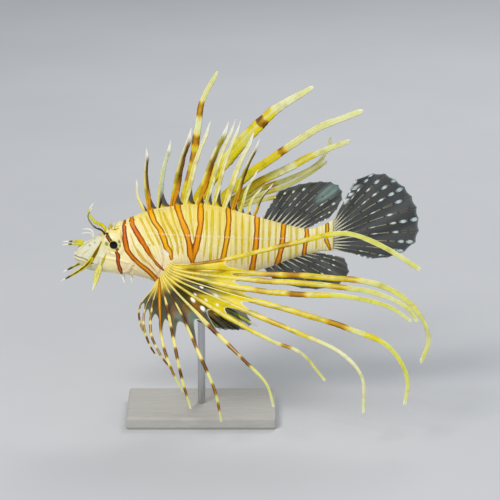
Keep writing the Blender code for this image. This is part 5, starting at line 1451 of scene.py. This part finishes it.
def build_pelvic(word, side, reach_out, size, looks):
    """A dark fin with white spots, two of whose rays end in pale free strands."""
    paths = pelvic_paths(side, reach_out, size)
    rays, webs = Shape(), Shape()
    for i, (path, across) in enumerate(zip(paths, across_of(paths))):
        free = i in (1, 4)
        last = len(path) if free else int(0.94 * len(path))
        s = shares_of(path)[:last]
        wide = 0.6 + 0.7 * free * ease(s, 0.6, 0.8)
        wide = wide * np.sqrt(np.clip((last / len(path) - s) * 20, 0, 1) + 0.01)
        high = 0.5 * (1 - 0.5 * s) * np.clip((1 - s) * 12, 0.1, 1)
        points, share, _ = sweep(path[:last], across[:last], wide, wide, high)
        beat = np.cos(share * path_length(path) * 2 * math.pi / PELVIC_PITCH + 1.1 * i)
        rays.ribbon(points, coats(
            blend(CREAM, LEMON, 0.6),
            (OLIVE, 0.85 * ease(beat, -0.4, 0.6)),
            (BROWN, 0.55 * ease(beat, 0.75, 0.95)),
            (rgb(216, 222, 100) if free else rgb(30, 30, 16), ease(share, 0.64, 0.76)),
            (WHITE, free * ease(share, 0.88, 0.93)),
        ))
    for i, (one, other) in enumerate(zip(paths, paths[1:])):
        sheet(webs, one, other, (PELVIC_WEB_END, PELVIC_WEB_END), 80, 13, 0.02, pelvic_web(i), 0.5 * side)
    add_fin(f"pelvic_fin_{word}", rays, webs, looks)


def flap_paint(name, side, share, t):
    """The colours of one head feeler."""
    off = np.abs(t)
    edge = ease(off, 0.45, 0.8)
    if name == "brow_tentacle" and side < 0:
        return coats(
            rgb(62, 44, 22),
            (rgb(138, 136, 116), ease(share, 0.36, 0.56)),
            (OLIVE, 0.35 * edge),
            (WHITE, ease(share, 0.86, 0.9)),
        )
    if name == "brow_tentacle":
        olive = 0.5 * edge * ease(share, 0.7, 0.5)
        return coats(LEMON, (LIME, ease(share, 0.2, 0.6)), (OLIVE, olive), (WHITE, ease(share, 0.80, 0.86)))
    if name == "snout_barbel":
        ring = 0.85 * ease(np.abs(share - 0.66), 0.09, 0.04)
        return coats(rgb(220, 214, 96), (OLIVE, 0.35 * edge), (DARK, ring), (WHITE, ease(share, 0.74, 0.78)))
    if name == "cheek_flap_front":
        return coats(
            rgb(98, 66, 20),
            (rgb(232, 220, 104), ease(off, 0.3, 0.6)),
            (LEMON, 0.5 * ease(share, 0.3, 0.1)),
            (DARK, 0.8 * ease(share, 0.72, 0.8)),
            (WHITE, ease(share, 0.86, 0.9)),
        )
    if name == "cheek_flap_rear":
        return coats(
            rgb(238, 230, 146),
            (rgb(206, 198, 76), 0.7 * edge),
            (OLIVE, 0.4 * ease(off, 0.3, 0.05) * ease(share, 0.8, 0.5)),
            (rgb(232, 234, 196), ease(share, 0.66, 0.84)),
        )
    return coats(rgb(230, 222, 190), (WHITE, ease(share, 0.1, 0.4)), (rgb(198, 176, 110), 0.15 * edge))


def build_flaps(material):
    """The head's feelers, flat and frilled, each one again on the right side."""
    for name, (seen, (root_out, tip_out), widths) in FLAPS.items():
        knots = list(zip(shares_of(widths), widths))
        for side, word in SIDES:
            outs = between((root_out, tip_out), shares_of(seen))
            path = [from_side(back, up, -out) * (1, -side, 1) for (back, up), out in zip(seen, outs)]
            path = [*(seated(path[0], gap) for gap in (-1.2, 0, 1.6)), *path[1:]]
            path = smooth_path(path, 90, 1.1)
            s = shares_of(path)
            frill = wave(s * 42, 81) * ease(s, 0.15, 0.4) * ease(s, 0.95, 0.7)
            frill = frill * (0.22 if max(widths) > BROAD_FLAP else 0.06)
            slim = BROW_WIDTH[side] if name == "brow_tentacle" else 1
            wide = slim * knots_at(knots, s) / 2 * (1 + frill) * np.sqrt(np.clip((1 - s) * 14, 0.02, 1))
            high = (0.42 + 0.3 * np.exp(-s * 9)) * (1 - 0.4 * s)
            across = unit(np.cross(SIDEWAYS, heading(path)))
            points, share, t = sweep(path, across, wide, wide * (1 + 0.1 * wave(s * 30, 82)), high)
            shape = Shape()
            shape.ribbon(points, flap_paint(name, side, share, t))
            shape.object(f"{name}_{word}_skin", material, "fin_ray", (f"{name}_{word}",))


def build_head_spines(material):
    """Short spines that lean back from the brow, the cheeks and the snout."""
    shape = Shape()
    for back, height, length, lean, radius in HEAD_SPINES:
        tilt = math.radians(lean)
        for side, _ in SIDES:
            root = np.array([back, side * float(flank(back, height)), height])
            away = away_from_body(root)
            reach = (away * math.cos(tilt) + BACKWARDS * math.sin(tilt)) * length
            path = smooth_path((root - away, root + reach * 0.5 + away * 0.2, root + reach), 16)
            s = shares_of(path)
            paint = blend(rgb(240, 224, 150), WHITE, ease(s, 0.4, 0.9))
            tube(shape, path, radius * (1 - 0.9 * s) * (1 + 0.5 * np.exp(-s * 6)), paint)
    shape.object("head_spines", material, "skin")


def base_material():
    look = Look("stand_paint", 0.45, Specular_IOR_Level=0.4)
    grain, fleck = look.noise(60, 5, 0.6, (1, 6, 6)), look.noise(1500, 2)
    colour = look.mix(look.ease(grain, 0.3, 0.7, 0, 0.35), rgb(186, 184, 178), rgb(160, 157, 150))
    colour = look.mix(look.ease(fleck, 0.55, 0.8, 0, 0.25), colour, rgb(215, 213, 207))
    return look.finish(colour, look.bump(fleck, 0.12, 0.0003), (grain, 0.3, 0.8, 0.38, 0.55))


def rod_material():
    look = Look("stand_steel", 0.28, Metallic=1)
    brushed = look.noise(900, 3, 0.6, (1, 1, 0.02))
    colour = look.mix(look.ease(brushed, 0.3, 0.7), rgb(176, 177, 180), rgb(206, 207, 209))
    return look.finish(colour, look.bump(brushed, 0.1, 0.0002), (brushed, 0.3, 0.7, 0.24, 0.36))


def build_stand():
    for node, material in (("stand_base", base_material()), ("stand_rod", rod_material())):
        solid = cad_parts[node]
        solid.data.materials.clear()
        solid.data.materials.append(material)


def build_floor():
    mesh = bpy.data.meshes.new("floor")
    corners = [(x * FLOOR_HALF, y * FLOOR_HALF, 0) for x, y in ((-1, -1), (1, -1), (1, 1), (-1, 1))]
    mesh.from_pydata(corners, [], [(0, 1, 2, 3)])
    floor = bpy.data.objects.new("floor", mesh)
    bpy.context.scene.collection.objects.link(floor)
    look = Look("floor_paint", 0.85, Specular_IOR_Level=0.2)
    dust = look.ease(look.noise(3, 4), 0.3, 0.7)
    floor.data.materials.append(look.finish(look.mix(dust, rgb(200, 202, 205), rgb(204, 206, 209))))


def aimed(name, data, place, target):
    """A lamp or a camera set up at a place and turned to look at its target."""
    holder = bpy.data.objects.new(name, data)
    holder.location = place
    holder.rotation_euler = (target - place).to_track_quat("-Z", "Y").to_euler()
    bpy.context.scene.collection.objects.link(holder)
    return holder


def build_studio():
    scene = bpy.context.scene
    scene.view_settings.view_transform = "Standard"
    scene.world = bpy.data.worlds.new("studio")
    scene.world.use_nodes = True
    sky = scene.world.node_tree.nodes["Background"].inputs
    sky["Color"].default_value, sky["Strength"].default_value = (*SKY, 1), SKY_STRENGTH
    target = Vector(ORIGIN + BACKWARDS * LAMP_TARGET * MM)
    for name, place, size, power, colour in LAMPS:
        lamp = bpy.data.lights.new(name, "AREA")
        lamp.size, lamp.energy, lamp.color = size, power, colour
        aimed(name, lamp, target + Vector(place), target)
    camera = bpy.data.cameras.new("camera")
    camera.sensor_width = 36
    camera.lens = camera.sensor_width * CAMERA_DISTANCE / VIEW_WIDTH
    target = Vector(ORIGIN + BACKWARDS * VIEW_MIDDLE * MM)
    scene.camera = aimed("camera", camera, target + Vector(TOWARDS_CAMERA) * CAMERA_DISTANCE, target)


def soft_fin_cloud(k, s):
    """The pale cloud near the margin of the soft back fin."""
    cloud = ease(np.hypot((k - 0.60) / 0.11, (s - 0.80) / 0.26), 1.15, 0.3)
    return 0.8 * cloud * (0.8 + 0.2 * np.cos(70 * k))


def no_cloud(k, s):
    return 0 * k


skin = skin_material()
horn = paint_material("lionfish_rays", 0.42, 700, 0.3)
film = paint_material("lionfish_web", 0.38, 500, 0.25, alpha=True)
clear = paint_material("lionfish_clear_web", 0.3, 420, 0.2, alpha=True, coat=0.2)
clear_rays = paint_material("lionfish_clear_rays", 0.35, 600, 0.2)
painted_looks, clear_looks = (horn, film, "fin_ray"), (clear_rays, clear, "clear_fin")

build_skin(skin)
build_scales(skin)
build_eyes(eye_material())
build_head_spines(horn)
build_flaps(horn)
build_spiny_dorsal(painted_looks)
build_pectoral("left", -1, LEFT_RAYS, LEFT_BOW, LEFT_ROOTS, LEFT_BANDS, LEFT_WIDTHS, painted_looks)
build_pectoral("right", 1, RIGHT_RAYS, RIGHT_BOW, RIGHT_ROOTS, RIGHT_BANDS, RIGHT_WIDTHS, painted_looks)
build_pelvic("left", -1, reach_out=30, size=1, looks=clear_looks)
build_pelvic("right", 1, reach_out=12, size=1.12, looks=clear_looks)
soft_paths = median_paths((149.2, 183.6), 0, 11, (60, 27), SOFT_DORSAL_REACH)
build_soft_fin("dorsal_fin_soft", soft_paths, (0.42, 0.6, 0.78), soft_fin_cloud, clear_looks)
anal_paths = median_paths((150.6, 190), math.pi, 10, (-52, -12), ANAL_REACH)
build_soft_fin("anal_fin", anal_paths, (0.42, 0.66), no_cloud, clear_looks)
caudal_flecks = (0.50, 0.70, 0.84, 0.94)
build_soft_fin("caudal_fin", caudal_paths(), caudal_flecks, no_cloud, clear_looks, white_edge=True)
build_stand()
build_floor()
build_studio()
